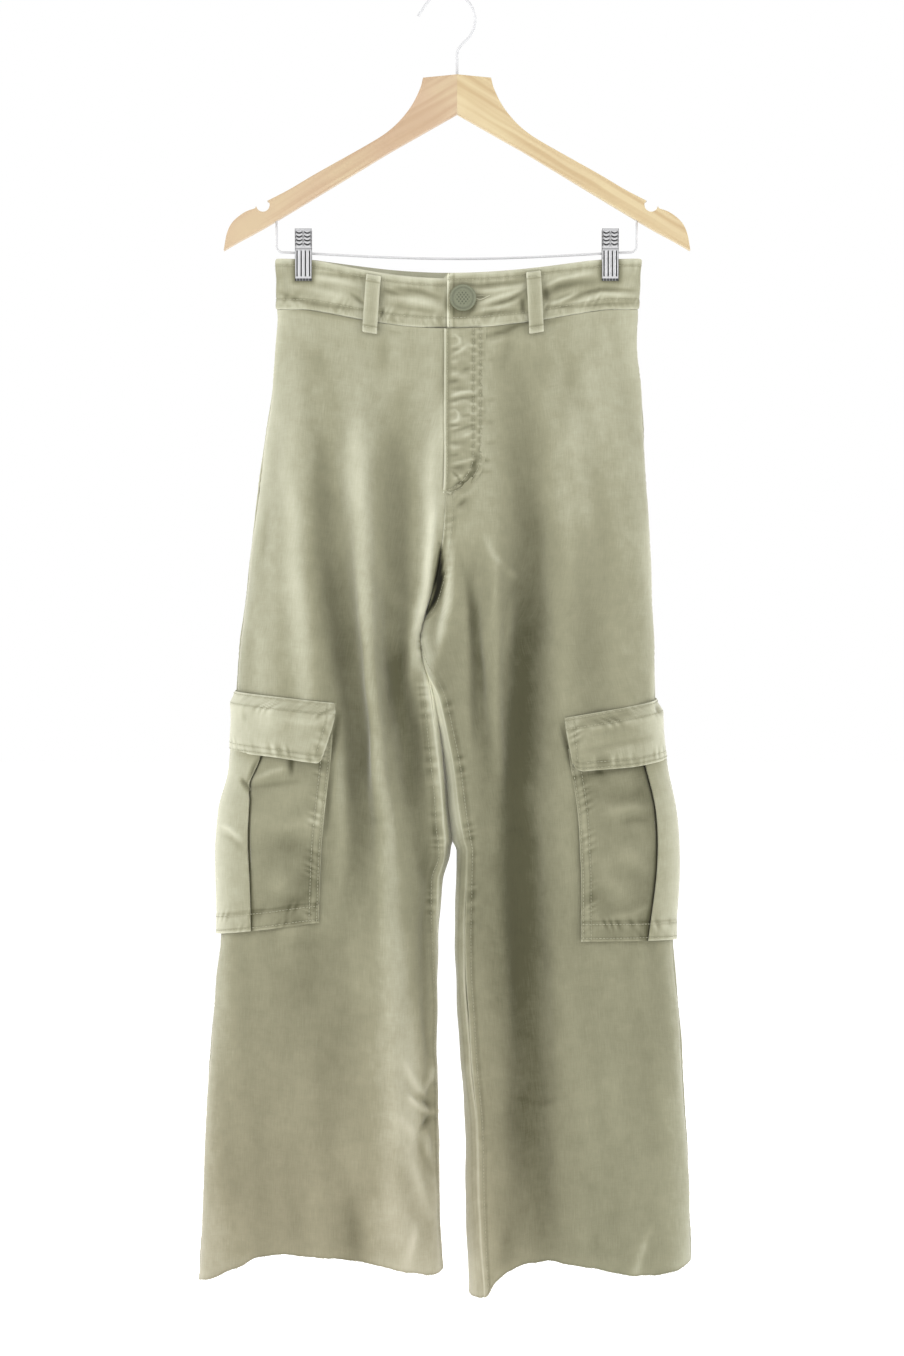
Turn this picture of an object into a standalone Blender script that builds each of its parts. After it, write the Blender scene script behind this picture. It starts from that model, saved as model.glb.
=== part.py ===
"""Wide-leg cargo jeans with a raw hem, hung flat by the waistband from a wooden clip hanger.

Metres, +Z up. The origin is the inside top of the hook, where the rod carries it. The front of the
jeans faces -Y. Left and right are the wearer's, so the right leg is at -X. A drop is a distance below
the origin, and an angle on a leg is 0 at the side, 180 degrees at the inner leg by way of the front,
and -180 degrees there by way of the back.
"""

import math

import bmesh
import bpy
import numpy as np
from mathutils import Vector

for old in list(bpy.data.objects):
    bpy.data.objects.remove(old)

# Cloth and seams
CLOTH = 0.0012
GAP = 0.0003
CHORD = 0.0006
PANEL_CURL = 0.020
BAND_COLUMNS = 17
BAND_CURL = 0.010
BAND_WALL = 0.0024
BAND_PROUD = 0.0008
LOOP_WALL = 0.0016
FLAP_WALL = 0.0018
POCKET_WALL = 0.0010
FLY_WALL = 0.0010

# Heights of the garment, as drops
BAND_TOP = 0.2529
WAIST_SEAM = 0.3016
FLY_END = 0.4790
CROTCH = 0.5996
HEM = 1.2184
RISE_CURVE = 0.110
INNER_ROUND = 0.95
FOLD_MARGIN = 0.035

# The waist between the two clips
CLIP_X = (-0.1380, 0.1548)
CENTRE_X = -0.0010
WAIST_RIM = 0.0050
WAIST_PINCHED = 0.0020
WAIST_OPEN = {"front": 0.0095, "back": 0.0070}
PINCH_WIDTH = 0.018
SEAM_SAG = 0.0185
TOP_SAG = {"right": 0.0195, "left": 0.0145, "back": 0.0120}
SAG_FADES_AT = 0.46
CLIP_END = 0.2745
FULL_DEPTH_AT = 0.43

# Outline and depth of the garment at each height
BODY = [
    # drop, right leg outer, right leg inner, left leg inner, left leg outer, front, back, side rounding
    (0.2529, -0.1643, -0.0010, -0.0010, 0.1843, 0.012, 0.012, 0.0050),
    (0.3016, -0.1633, -0.0010, -0.0010, 0.1815, 0.019, 0.022, 0.0120),
    (0.3300, -0.1655, -0.0010, -0.0010, 0.1800, 0.023, 0.028, 0.0500),
    (0.3875, -0.1710, -0.0012, -0.0012, 0.1853, 0.030, 0.042, 0.0900),
    (0.4448, -0.1786, -0.0015, -0.0015, 0.1881, 0.036, 0.054, 0.0950),
    (0.5020, -0.1853, -0.0035, -0.0035, 0.1910, 0.041, 0.060, 0.1000),
    (0.5403, -0.1900, -0.0076, -0.0076, 0.1930, 0.043, 0.060, 0.1000),
    (0.5785, -0.1945, -0.0162, -0.0162, 0.1950, 0.044, 0.057, 0.1000),
    (0.5996, -0.1970, -0.0226, -0.0214, 0.1965, 0.044, 0.054, 0.1000),
    (0.6167, -0.1996, -0.0252, -0.0240, 0.1975, 0.044, 0.052, 0.0980),
    (0.6740, -0.2045, -0.0140, -0.0128, 0.2000, 0.043, 0.048, 0.0980),
    (0.7313, -0.2085, -0.0044, -0.0032, 0.2065, 0.042, 0.046, 0.0980),
    (0.7886, -0.2150, 0.0024, 0.0036, 0.2150, 0.042, 0.045, 0.1050),
    (0.8173, -0.2178, 0.0035, 0.0080, 0.2168, 0.042, 0.045, 0.1100),
    (0.8459, -0.2187, -0.0048, 0.0076, 0.2177, 0.042, 0.045, 0.1070),
    (0.9032, -0.2206, -0.0105, 0.0068, 0.2177, 0.042, 0.046, 0.1050),
    (1.0178, -0.2282, -0.0105, 0.0115, 0.2235, 0.044, 0.048, 0.1080),
    (1.0751, -0.2320, -0.0088, 0.0162, 0.2273, 0.045, 0.049, 0.1100),
    (1.1324, -0.2340, -0.0086, 0.0168, 0.2302, 0.046, 0.050, 0.1120),
    (1.2184, -0.2368, -0.0055, 0.0215, 0.2311, 0.048, 0.052, 0.1150),
]
BODY_COLUMNS = (
    "drop", "right_outer", "right_inner", "left_inner", "left_outer", "front", "back",
    "side_round",
)

# How far each seam is turned from the silhouette towards the front, in degrees
SEAM_TURNS = [
    # drop, right inseam, left inseam, right side seam, left side seam
    (0.2529, 0, 0, 0, 0),
    (0.5996, 0, 0, 2, 6),
    (0.6740, 18, 22, 2, 9),
    (0.7886, 24, 26, 2, 6),
    (0.9032, 6, 24, 0, 2),
    (1.0178, 2, 26, 0, 0),
    (1.2184, 2, 30, 0, 0),
]
TURN_COLUMNS = ("drop", "right_inseam", "left_inseam", "right_side", "left_side")

# Soft vertical folds. Height is out of the cloth for a ridge and negative for a valley.
FOLDS = [
    # face, top drop, top x, middle drop, middle x, end drop, end x, half width, height
    ("front", 0.33, -0.155, 0.50, -0.155, 0.67, -0.140, 0.015, 0.006),
    ("front", 0.33, -0.124, 0.55, -0.106, 0.86, -0.076, 0.015, -0.012),
    ("front", 0.30, -0.092, 0.65, -0.074, 1.30, -0.038, 0.011, 0.009),
    ("front", 0.33, -0.052, 0.55, -0.050, 0.82, -0.028, 0.016, -0.012),
    ("front", 0.40, -0.014, 0.50, -0.016, 0.60, -0.028, 0.010, 0.004),
    ("front", 0.50, 0.028, 0.62, 0.026, 0.75, 0.030, 0.007, -0.007),
    ("front", 0.52, 0.046, 0.62, 0.046, 0.76, 0.044, 0.008, 0.004),
    ("front", 0.31, 0.060, 0.62, 0.078, 1.30, 0.078, 0.021, -0.018),
    ("front", 0.34, 0.125, 0.55, 0.116, 0.70, 0.112, 0.018, 0.005),
    ("front", 1.08, -0.120, 1.20, -0.128, 1.40, -0.130, 0.030, -0.008),
    ("back", 0.31, -0.110, 0.62, -0.096, 1.30, -0.110, 0.020, -0.014),
    ("back", 0.33, -0.060, 0.60, -0.056, 0.95, -0.062, 0.014, 0.007),
    ("back", 0.31, 0.062, 0.60, 0.066, 0.98, 0.080, 0.016, -0.011),
    ("back", 0.33, 0.100, 0.62, 0.094, 1.30, 0.104, 0.014, 0.008),
    ("back", 0.33, 0.142, 0.50, 0.148, 0.67, 0.150, 0.018, -0.007),
]
FOLD_COLUMNS = ("face", "top", "top_x", "middle", "middle_x", "end", "end_x", "half_width", "height")

# Drop of the raw hem round each leg, by angle in degrees
HEM_EDGE = [
    # angle, right leg, left leg
    (-180, 1.2120, 1.2370),
    (-150, 1.2040, 1.2160),
    (-120, 1.1990, 1.2020),
    (-90, 1.1980, 1.2010),
    (-50, 1.1990, 1.2020),
    (-25, 1.2120, 1.2060),
    (0, 1.2265, 1.2070),
    (20, 1.2255, 1.2120),
    (30, 1.2217, 1.2150),
    (40, 1.2153, 1.2170),
    (48, 1.2113, 1.2182),
    (60, 1.2006, 1.2184),
    (72, 1.1977, 1.2150),
    (83, 1.2002, 1.2110),
    (95, 1.2020, 1.2070),
    (106, 1.2035, 1.2040),
    (118, 1.2080, 1.2065),
    (131, 1.2135, 1.2150),
    (141, 1.2170, 1.2265),
    (148, 1.2189, 1.2390),
    (157, 1.2195, 1.2425),
    (169, 1.2165, 1.2410),
    (180, 1.2120, 1.2370),
]
HEM_FADES_FROM = 1.02

# Cargo pockets: centre is an arc length from the silhouette towards the front. What the front edges
# of the flap and of the pocket reach beyond half the width is given too, and may be negative.
POCKETS = {
    "right": {
        "centre": 0.011, "tilt": 0.10, "flap_top": 0.6660, "bottom": 0.8965, "foot_tilt": -0.115,
        "flap_front_top": -0.0045, "flap_front_low": -0.0150, "flap_front_rise": 0.0, "pocket_front": -0.0045,
    },
    "left": {
        "centre": -0.004, "tilt": 0.17, "flap_top": 0.6720, "bottom": 0.9020, "foot_tilt": 0.0,
        "flap_front_top": 0.0025, "flap_front_low": 0.0, "flap_front_rise": 0.0050, "pocket_front": 0.0045,
    },
}
POCKET_WIDTH = 0.214
POCKET_TOP_BELOW_FLAP = 0.030
PLEAT_STRIP = 0.062
PLEAT_UNDER = 0.010
FLAP_WIDTH = 0.218
FLAP_HEIGHT = 0.0570
FLAP_RAMP = 0.014

# Belt loops, on the waistband
LOOP_WIDTH = 0.0140
LOOP_ABOVE = 0.0035
LOOP_BELOW = 0.0120
LOOP_SLACK = 0.0024
LOOPS = [
    # name, leg, face, x at the top, x at the bottom
    ("belt_loop_front_right", "right", "front", -0.0705, -0.0745),
    ("belt_loop_front_left", "left", "front", 0.0810, 0.0840),
    ("belt_loop_back_right", "right", "back", -0.0800, -0.0800),
    ("belt_loop_back_centre", "left", "back", 0.0090, 0.0090),
    ("belt_loop_back_left", "left", "back", 0.0980, 0.0980),
]

# Fly and button
FLY_WIDTH = 0.0370
FLY_LAP = 0.0025
FLY_CURVE = 0.036
UNDERLAP = 0.026
UNDERLAP_PUSH = BAND_WALL + GAP
BUTTON_X = 0.0142
BUTTON_DROP = 0.2935
BUTTON_RADIUS = 0.0127
BUTTON_THICK = 0.0034

# Hanger
HANGER_X = 0.0086
WOOD_THICK = 0.0125
HOOK_RADIUS = 0.0260
HOOK_WIRE = 0.0013
BAR_WIRE = 0.0011
BAR_X = (-0.1637, 0.1801)
BAR_DROP = 0.2462
BAR_SAG = 0.0065
BAR_CORNER = 0.0050
HOLE_CLEARANCE = 0.0003
BAR_HOLE_DEPTH = 0.016
HOOK_HOLE_DEPTH = 0.026
CLIP_WIDTH = 0.0160
CLIP_TOP = 0.2247
CLIP_BOTTOM = 0.2740
CLIP_WALL = 0.0011
SPRING_RADIUS = 0.0042

# Colours
DENIM = (0.300, 0.290, 0.195)
DENIM_PALE = (0.400, 0.390, 0.290)
BUTTON_METAL = (0.230, 0.235, 0.160)
WOOD = (0.690, 0.490, 0.270)
STEEL = (0.760, 0.760, 0.770)


def smoothstep(value):
    """0 below 0, 1 above 1, and a soft curve between."""
    t = np.clip(value, 0.0, 1.0)
    return t * t * (3 - 2 * t)


def column(table, columns, name, at):
    """A column of a table at any height, on a smooth curve through its rows that never overshoots."""
    rows = np.array([[row[0], row[columns.index(name)]] for row in table], float)
    x, y = rows[:, 0], rows[:, 1]
    at = np.clip(at, x[0], x[-1])
    step = np.diff(y) / np.diff(x)
    same_way = step[:-1] * step[1:] > 0
    middle = np.where(same_way, 2 * step[:-1] * step[1:] / np.where(same_way, step[:-1] + step[1:], 1), 0)
    slope = np.concatenate([[step[0]], middle, [step[-1]]])
    i = np.clip(np.searchsorted(x, at) - 1, 0, len(x) - 2)
    h = x[i + 1] - x[i]
    t = (at - x[i]) / h
    return (
        (2 * t**3 - 3 * t**2 + 1) * y[i]
        + (t**3 - 2 * t**2 + t) * h * slope[i]
        + (3 * t**2 - 2 * t**3) * y[i + 1]
        + (t**3 - t**2) * h * slope[i + 1]
    )


def body(name, drop):
    return column(BODY, BODY_COLUMNS, name, drop)


def seam_turn(name, drop):
    return np.radians(column(SEAM_TURNS, TURN_COLUMNS, name, drop))


def rounding(reach, width):
    """0 at an edge, rising on a quarter of an ellipse to 1 at that distance from it."""
    return np.sqrt(np.clip(1 - np.clip(1 - reach / width, 0, 1) ** 2, 0, 1))


def rise_opened(drop):
    """0 from the crotch down, and 1 where the rise curve has reached the full depth above it."""
    return np.sin(np.clip((CROTCH - drop) / RISE_CURVE, 0, 1) ** 0.75 * math.pi / 2)


def fold_height(face, x, drop):
    """All the soft folds of one face, at a place."""
    total = np.zeros(np.broadcast(x, drop).shape)
    for row in FOLDS:
        fold = dict(zip(FOLD_COLUMNS, row))
        if fold["face"] == face:
            heights = (fold["top"], fold["middle"], fold["end"])
            centre = np.interp(drop, heights, (fold["top_x"], fold["middle_x"], fold["end_x"]))
            run = (drop - fold["top"]) / (fold["end"] - fold["top"])
            fade = smoothstep(run / 0.25) * smoothstep((1 - run) / 0.25)
            total = total + fold["height"] * fade * np.exp(-(((x - centre) / fold["half_width"]) ** 2))
    return total


def waist_depth(face, x):
    """Half depth of the waist: pinched flat at the clips, a little open between them."""
    half = (CLIP_X[1] - CLIP_X[0]) / 2
    middle = (CLIP_X[1] + CLIP_X[0]) / 2
    bump = np.cos(np.clip((x - middle) / half, -1, 1) * math.pi / 2) ** 2
    depth = WAIST_RIM + WAIST_OPEN[face] * bump
    for clip_x in CLIP_X:
        well = np.exp(-(((x - clip_x) / PINCH_WIDTH) ** 6))
        depth = depth - (depth - WAIST_PINCHED) * well
    return depth


def leg_point(leg, angle, drop):
    """The outside of the cloth before sag and hem: x, y and drop, for any angle and height."""
    angle, drop = np.broadcast_arrays(np.asarray(angle, float), np.asarray(drop, float))
    outer, inner = body(f"{leg}_outer", drop), body(f"{leg}_inner", drop)
    middle, half = (outer + inner) / 2, (outer - inner) / 2
    x = middle + half * np.cos(angle)
    from_side, from_inner = np.abs(outer - x), np.abs(x - inner)
    opened = rise_opened(drop)
    joined = 1 - opened**2
    edge = np.clip(1 - from_inner / (INNER_ROUND * np.abs(half)), 0, 1)
    shape = rounding(from_side, body("side_round", drop)) * np.sqrt(1 - joined * edge**2)
    front = np.sin(angle) > 0
    free = smoothstep((drop - CLIP_END) / (FULL_DEPTH_AT - CLIP_END))
    at_waist = np.where(front, waist_depth("front", x), waist_depth("back", x))
    depth = (1 - free) * at_waist + free * np.where(front, body("front", drop), body("back", drop))
    soft = smoothstep(from_side / FOLD_MARGIN) * (1 - joined * (1 - smoothstep(from_inner / FOLD_MARGIN)))
    folds = np.where(front, fold_height("front", x, drop), fold_height("back", x, drop))
    y = depth * shape + folds * soft
    return np.stack([x, np.where(front, -y, y), drop], axis=-1)


def sag(x, at_centre):
    """How far the waist hangs below the line between the clips."""
    span = np.where(x < CENTRE_X, CENTRE_X - CLIP_X[0], CLIP_X[1] - CENTRE_X)
    return at_centre * np.clip(1 - ((x - CENTRE_X) / span) ** 2, 0, 1) ** 1.4


def hem_shift(leg, angle):
    turned = np.degrees((angle + math.pi) % (2 * math.pi) - math.pi)
    columns = ("angle", "right", "left")
    return column(HEM_EDGE, columns, leg, turned) - HEM


def surface(leg, angle, drop):
    """A place on the outside of the cloth, in the part's own axes."""
    place = leg_point(leg, angle, drop)
    x, y, down = place[..., 0], place[..., 1], place[..., 2]
    hangs = sag(x, SEAM_SAG) * (1 - smoothstep((down - WAIST_SEAM) / (SAG_FADES_AT - WAIST_SEAM)))
    fades = smoothstep((down - HEM_FADES_FROM) / (HEM - HEM_FADES_FROM))
    down = down + hangs + hem_shift(leg, np.broadcast_to(angle, down.shape)) * fades
    return np.stack([x, y, -down], axis=-1)


def outward(leg, angle, drop):
    """The cloth's outward direction there. Heights are read on one side of the crotch only."""
    step, turn = 0.0005, 0.004
    angle, drop = np.broadcast_arrays(np.asarray(angle, float), np.asarray(drop, float))
    below = np.where(drop < CROTCH, np.minimum(drop + step, CROTCH), drop + step)
    above = np.where(drop < CROTCH, drop - step, np.maximum(drop - step, CROTCH))
    side = np.sin(angle) > 0
    ahead, behind = angle + turn, angle - turn
    ahead = np.where((drop < CROTCH) & side, np.minimum(ahead, math.pi), ahead)
    behind = np.where((drop < CROTCH) & ~side, np.maximum(behind, -math.pi), behind)
    along = surface(leg, ahead, drop) - surface(leg, behind, drop)
    down = surface(leg, angle, below) - surface(leg, angle, above)
    normal = np.cross(along, down)
    normal = normal / np.maximum(np.linalg.norm(normal, axis=-1, keepdims=True), 1e-12)
    if leg == "right":
        normal = -normal
    return normal


def lifted(leg, angle, drop, height):
    """A place that far out from the cloth's outside."""
    return surface(leg, angle, drop) + outward(leg, angle, drop) * np.asarray(height)[..., None]


def turned_by(leg, angle, drop, length):
    """The angle that lies that far round from an edge, for a small length either way."""
    tries = np.sign(length) * np.geomspace(0.0002, 0.4, 120)
    start = surface(leg, angle, drop)
    found = []
    for one_start, one_angle, one_drop in zip(start, angle, drop):
        reach = np.linalg.norm(surface(leg, one_angle + tries, one_drop) - one_start, axis=-1)
        found.append(one_angle + np.interp(abs(length), np.maximum.accumulate(reach), tries))
    return np.array(found)


def angle_at_x(leg, face, x, drop):
    """The angle of a place on the front or back, by its x."""
    outer, inner = body(f"{leg}_outer", drop), body(f"{leg}_inner", drop)
    angle = np.arccos(np.clip((np.asarray(x) - (outer + inner) / 2) / ((outer - inner) / 2), -1, 1))
    return angle if face == "front" else -angle


def angle_at_arc(leg, arc, drop):
    """The angles of places given as lengths of cloth from the silhouette towards the front."""
    arc, drop = np.broadcast_arrays(np.asarray(arc, float), np.asarray(drop, float))
    tries = np.linspace(-2.6, 2.6, 321)
    line = surface(leg, tries[None, :], drop.reshape(-1, 1))
    steps = np.linalg.norm(np.diff(line, axis=1), axis=2)
    along = np.concatenate([np.zeros((len(line), 1)), np.cumsum(steps, axis=1)], axis=1)
    along -= along[:, 160:161]
    found = [np.interp(a, row, tries) for a, row in zip(arc.ravel(), along)]
    return np.array(found).reshape(arc.shape)


def spaced(line, count, curl):
    """Even shares of a line's length, closer where it turns, as positions in its list of points."""
    steps = np.diff(line, axis=0)
    lengths = np.linalg.norm(steps, axis=1)
    ways = steps / np.maximum(lengths[:, None], 1e-12)
    turns = np.arccos(np.clip(np.sum(ways[1:] * ways[:-1], axis=1), -1, 1))
    cost = lengths + curl * (np.append(turns, 0) + np.insert(turns, 0, 0)) / 2
    along = np.concatenate([[0], np.cumsum(cost)])
    return np.interp(np.linspace(0, along[-1], count), along, np.arange(len(along)))


def material(name, colour, roughness, metallic=0.0):
    made = bpy.data.materials.new(name)
    made.use_nodes = True
    shader = made.node_tree.nodes["Principled BSDF"]
    shader.inputs["Base Color"].default_value = (*colour, 1)
    shader.inputs["Roughness"].default_value = roughness
    shader.inputs["Metallic"].default_value = metallic
    return made


def add_mesh(name, mesh, finish, smooth=True):
    mesh.name = name
    mesh.materials.append(finish)
    made = bpy.data.objects.new(name, mesh)
    bpy.context.collection.objects.link(made)
    if smooth:
        mesh.shade_smooth()
        mesh.set_sharp_from_angle(angle=math.radians(40))
    return made


def solid_from(shape, name, finish, smooth=True):
    """An object from a bmesh, with its faces turned out."""
    bmesh.ops.recalc_face_normals(shape, faces=shape.faces)
    if shape.calc_volume(signed=True) < 0:
        bmesh.ops.reverse_faces(shape, faces=shape.faces)
    mesh = bpy.data.meshes.new(name)
    shape.to_mesh(mesh)
    shape.free()
    return add_mesh(name, mesh, finish, smooth)


def wall(name, outside, inside, finish):
    """A closed cloth wall between two grids of points, with its four edges filled."""
    rows, columns = outside.shape[:2]
    shape = bmesh.new()
    layers = [[[shape.verts.new(p) for p in row] for row in grid] for grid in (outside, inside)]
    outer, inner = layers
    for i in range(rows - 1):
        for j in range(columns - 1):
            shape.faces.new((outer[i][j], outer[i + 1][j], outer[i + 1][j + 1], outer[i][j + 1]))
            shape.faces.new((inner[i][j], inner[i][j + 1], inner[i + 1][j + 1], inner[i + 1][j]))
    edge = [(0, j) for j in range(columns)] + [(i, columns - 1) for i in range(1, rows)]
    edge += [(rows - 1, j) for j in range(columns - 2, -1, -1)] + [(i, 0) for i in range(rows - 2, 0, -1)]
    for (i, j), (k, m) in zip(edge, edge[1:] + edge[:1]):
        shape.faces.new((outer[i][j], outer[k][m], inner[k][m], inner[i][j]))
    return solid_from(shape, name, finish)


def panel_heights():
    """Row heights of a panel: even down the rise, close at the crotch curve, even down the leg."""
    rise = np.linspace(WAIST_SEAM + GAP / 2, CROTCH - RISE_CURVE, 6)[:-1]
    opened = np.linspace(1, 0, 6)
    curve = CROTCH - RISE_CURVE * (np.arcsin(opened) * 2 / math.pi) ** (4 / 3)
    leg = np.linspace(CROTCH, HEM, 14)[1:]
    return np.concatenate([rise, curve, leg])


def panel(leg, face, columns, finish):
    """One cut piece: half a front or half a back, from waist seam to hem."""
    drops = panel_heights()
    side = seam_turn(f"{leg}_side", drops)
    inseam = math.pi - seam_turn(f"{leg}_inseam", drops)
    way = 1 if face == "front" else -1
    if face == "back":
        inseam = inseam - 2 * math.pi
    start = turned_by(leg, side, drops, way * GAP / 2)
    stop = turned_by(leg, inseam, drops, -way * GAP / 2)
    rows = []
    for drop, first, last in zip(drops, start, stop):
        tries = np.linspace(first, last, 240)
        line = surface(leg, tries, drop)
        rows.append(np.interp(spaced(line, columns, PANEL_CURL), np.arange(240), tries))
    angles = np.array(rows)
    drops = np.broadcast_to(drops[:, None], angles.shape)
    out = surface(leg, angles, drops)
    back = lifted(leg, angles, drops, np.full(angles.shape, -CLOTH))
    return wall(f"{face}_{leg}", out, back, finish)


def band_path():
    """The waistband's columns: leg, angle and how far that stretch is pushed in under the overlap."""
    under = angle_at_x("left", "front", CENTRE_X + np.linspace(UNDERLAP, 0.002, 4), WAIST_SEAM)
    columns = [("left", angle, UNDERLAP_PUSH) for angle in under]
    halves = {}
    for leg in ("right", "left"):
        for face, end in (("front", math.pi), ("back", -math.pi)):
            tries = np.linspace(0, end, 400)
            picked = spaced(leg_point(leg, tries, WAIST_SEAM), BAND_COLUMNS, BAND_CURL)
            halves[leg, face] = np.interp(picked, np.arange(400), tries)
    for angle in halves["right", "front"][::-1]:
        reach = abs(leg_point("right", angle, WAIST_SEAM)[0] - CENTRE_X)
        columns.append(("right", angle, UNDERLAP_PUSH * (1 - smoothstep(reach / 0.030))))
    columns += [("right", angle, 0.0) for angle in halves["right", "back"][1:]]
    columns += [("left", angle, 0.0) for angle in halves["left", "back"][::-1][1:]]
    columns += [("left", angle, 0.0) for angle in halves["left", "front"][1:]]
    return columns


def band_point(leg, angle, share, height):
    """A place on the waistband: share is 0 at its top edge and 1 at the waist seam."""
    bottom = WAIST_SEAM - GAP / 2
    drop = BAND_TOP + (bottom - BAND_TOP) * share
    place = leg_point(leg, angle, drop)
    normal = outward(leg, angle, drop)
    normal[..., 2] = 0
    normal = normal / np.linalg.norm(normal)
    low = sag(place[0], SEAM_SAG)
    high = sag(place[0], TOP_SAG[leg] if np.sin(angle) > 0 else TOP_SAG["back"])
    x, y, down = place
    return np.array([x, y, -(down + high + (low - high) * share)]) + normal * height


def waistband(finish):
    """One strip all round, its left end lapped over the right at the centre front."""
    out, back = [], []
    path = band_path()
    for share in np.linspace(0, 1, 5):
        out.append([band_point(leg, angle, share, BAND_PROUD - push) for leg, angle, push in path])
        depth = BAND_PROUD - BAND_WALL
        back.append([band_point(leg, angle, share, depth - push) for leg, angle, push in path])
    return wall("waistband", np.array(out), np.array(back), finish)


def loop_base(leg, angle, drop):
    """The cloth under a belt loop and its outward direction: the band, or the panel below it."""
    if drop >= WAIST_SEAM:
        return surface(leg, angle, drop), outward(leg, angle, drop)
    share = (drop - BAND_TOP) / (WAIST_SEAM - BAND_TOP)
    place = band_point(leg, angle, share, 0.0)
    return place, band_point(leg, angle, share, 1.0) - place


def belt_loop(name, leg, face, top_x, bottom_x, finish):
    """A strip sewn down at both ends, standing a little off the band between them."""
    across = np.linspace(-LOOP_WIDTH / 2, LOOP_WIDTH / 2, 3)
    top_drop, bottom_drop = BAND_TOP + LOOP_ABOVE, WAIST_SEAM + LOOP_BELOW
    out, back = [], []
    for t in np.linspace(0, 1, 11):
        drop = top_drop + (bottom_drop - top_drop) * t
        angles = angle_at_x(leg, face, top_x + (bottom_x - top_x) * t + across, drop)
        stand = BAND_PROUD + GAP + CHORD + LOOP_SLACK * smoothstep(t / 0.22) * smoothstep((1 - t) / 0.12)
        places = [loop_base(leg, angle, drop) for angle in angles]
        out.append([p + n * (stand + LOOP_WALL) for p, n in places])
        back.append([p + n * stand for p, n in places])
    return wall(name, np.array(out), np.array(back), finish)


def fly(finish):
    """The lapped fly front: straight down its edge, curved back to it at the foot."""
    drops = np.concatenate([
        np.linspace(WAIST_SEAM + 2 * GAP, FLY_END - FLY_CURVE, 7),
        FLY_END - FLY_CURVE * (1 - np.sin(np.radians([18, 36, 54, 70, 82]))),
    ])
    out, back = [], []
    for drop in drops:
        low = max(0.0, (drop - FLY_END + FLY_CURVE) / FLY_CURVE)
        width = (FLY_WIDTH + FLY_LAP) * math.sqrt(1 - low**2)
        centre = body("left_inner", drop)
        rows = [[], []]
        for x in centre - FLY_LAP + width * np.linspace(0, 1, 8):
            leg = "left" if x > centre else "right"
            angle = angle_at_x(leg, "front", x, drop)
            rows[0].append(lifted(leg, angle, drop, GAP + CHORD))
            rows[1].append(lifted(leg, angle, drop, GAP + CHORD + FLY_WALL))
        back.append(rows[0])
        out.append(rows[1])
    return wall("fly", np.array(out), np.array(back), finish)


def pleated_columns(width):
    """Half a pocket's section, edge to middle: arc and height of its under and its upper side."""
    strip = PLEAT_STRIP / 2
    under = strip - PLEAT_UNDER
    one = POCKET_WALL + GAP
    low = GAP + CHORD
    columns = [(arc, arc, low, low + POCKET_WALL) for arc in np.linspace(width / 2, strip + 0.003, 10)]
    columns += [
        (under - POCKET_WALL, under, low, low + POCKET_WALL),
        (under - POCKET_WALL, under, low + one + POCKET_WALL, low + one),
        (strip, strip + POCKET_WALL, low + one + POCKET_WALL, low + one),
        (strip, strip + POCKET_WALL, low + 2 * one, low + 2 * one + POCKET_WALL),
    ]
    high = low + 2 * one
    columns += [(arc, arc, high, high + POCKET_WALL) for arc in np.linspace(strip - 0.006, 0, 5)]
    return columns


def cargo_pocket(leg, finish):
    """A patch pocket round the side seam, with a box pleat down its middle."""
    spec = POCKETS[leg]
    half = pleated_columns(POCKET_WIDTH)
    mirrored = [(-under, -upper, low, high) for under, upper, low, high in half[::-1][1:]]
    columns = np.array(half + mirrored)
    t = np.linspace(0, 1, 9)[:, None]
    top = spec["flap_top"] + POCKET_TOP_BELOW_FLAP
    sides = []
    for arcs, heights in ((columns[:, 0], columns[:, 2]), (columns[:, 1], columns[:, 3])):
        foot = spec["foot_tilt"] * np.maximum(arcs, 0) * t**2
        drops = top + (spec["bottom"] - top) * t + spec["tilt"] * (1 - t) * arcs + foot
        eased = arcs + spec["pocket_front"] * smoothstep((arcs - 0.060) / 0.040)
        angles = angle_at_arc(leg, eased + spec["centre"], drops)
        sides.append(lifted(leg, angles, drops, np.broadcast_to(heights, drops.shape)))
    return wall(f"cargo_pocket_{leg}", sides[1], sides[0], finish)


def cargo_flap(leg, finish):
    """The flap over the pocket's mouth, sewn down along its top edge."""
    spec = POCKETS[leg]
    over = 4 * GAP + 3 * POCKET_WALL + 2 * CHORD
    side = np.linspace(FLAP_WIDTH / 2, PLEAT_STRIP / 2 + 0.006, 8)
    arcs = np.concatenate([-side, np.linspace(-PLEAT_STRIP / 2, PLEAT_STRIP / 2, 13), side[::-1]])
    below = np.array([0.0, 0.005, 0.010, 0.018, 0.028, 0.042, FLAP_HEIGHT])[:, None]
    rise = GAP + CHORD + (over - GAP - CHORD) * smoothstep(below / FLAP_RAMP)
    at_front = smoothstep((arcs - 0.040) / (FLAP_WIDTH / 2 - 0.040))
    share = below / FLAP_HEIGHT
    drops = spec["flap_top"] + spec["tilt"] * arcs + below - spec["flap_front_rise"] * at_front * share
    slant = spec["flap_front_top"] * (1 - share) + spec["flap_front_low"] * share
    angles = angle_at_arc(leg, arcs + slant * at_front + spec["centre"], drops)
    under = lifted(leg, angles, drops, np.broadcast_to(rise, drops.shape))
    upper = lifted(leg, angles, drops, np.broadcast_to(rise + FLAP_WALL, drops.shape))
    return wall(f"cargo_flap_{leg}", upper, under, finish)


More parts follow.
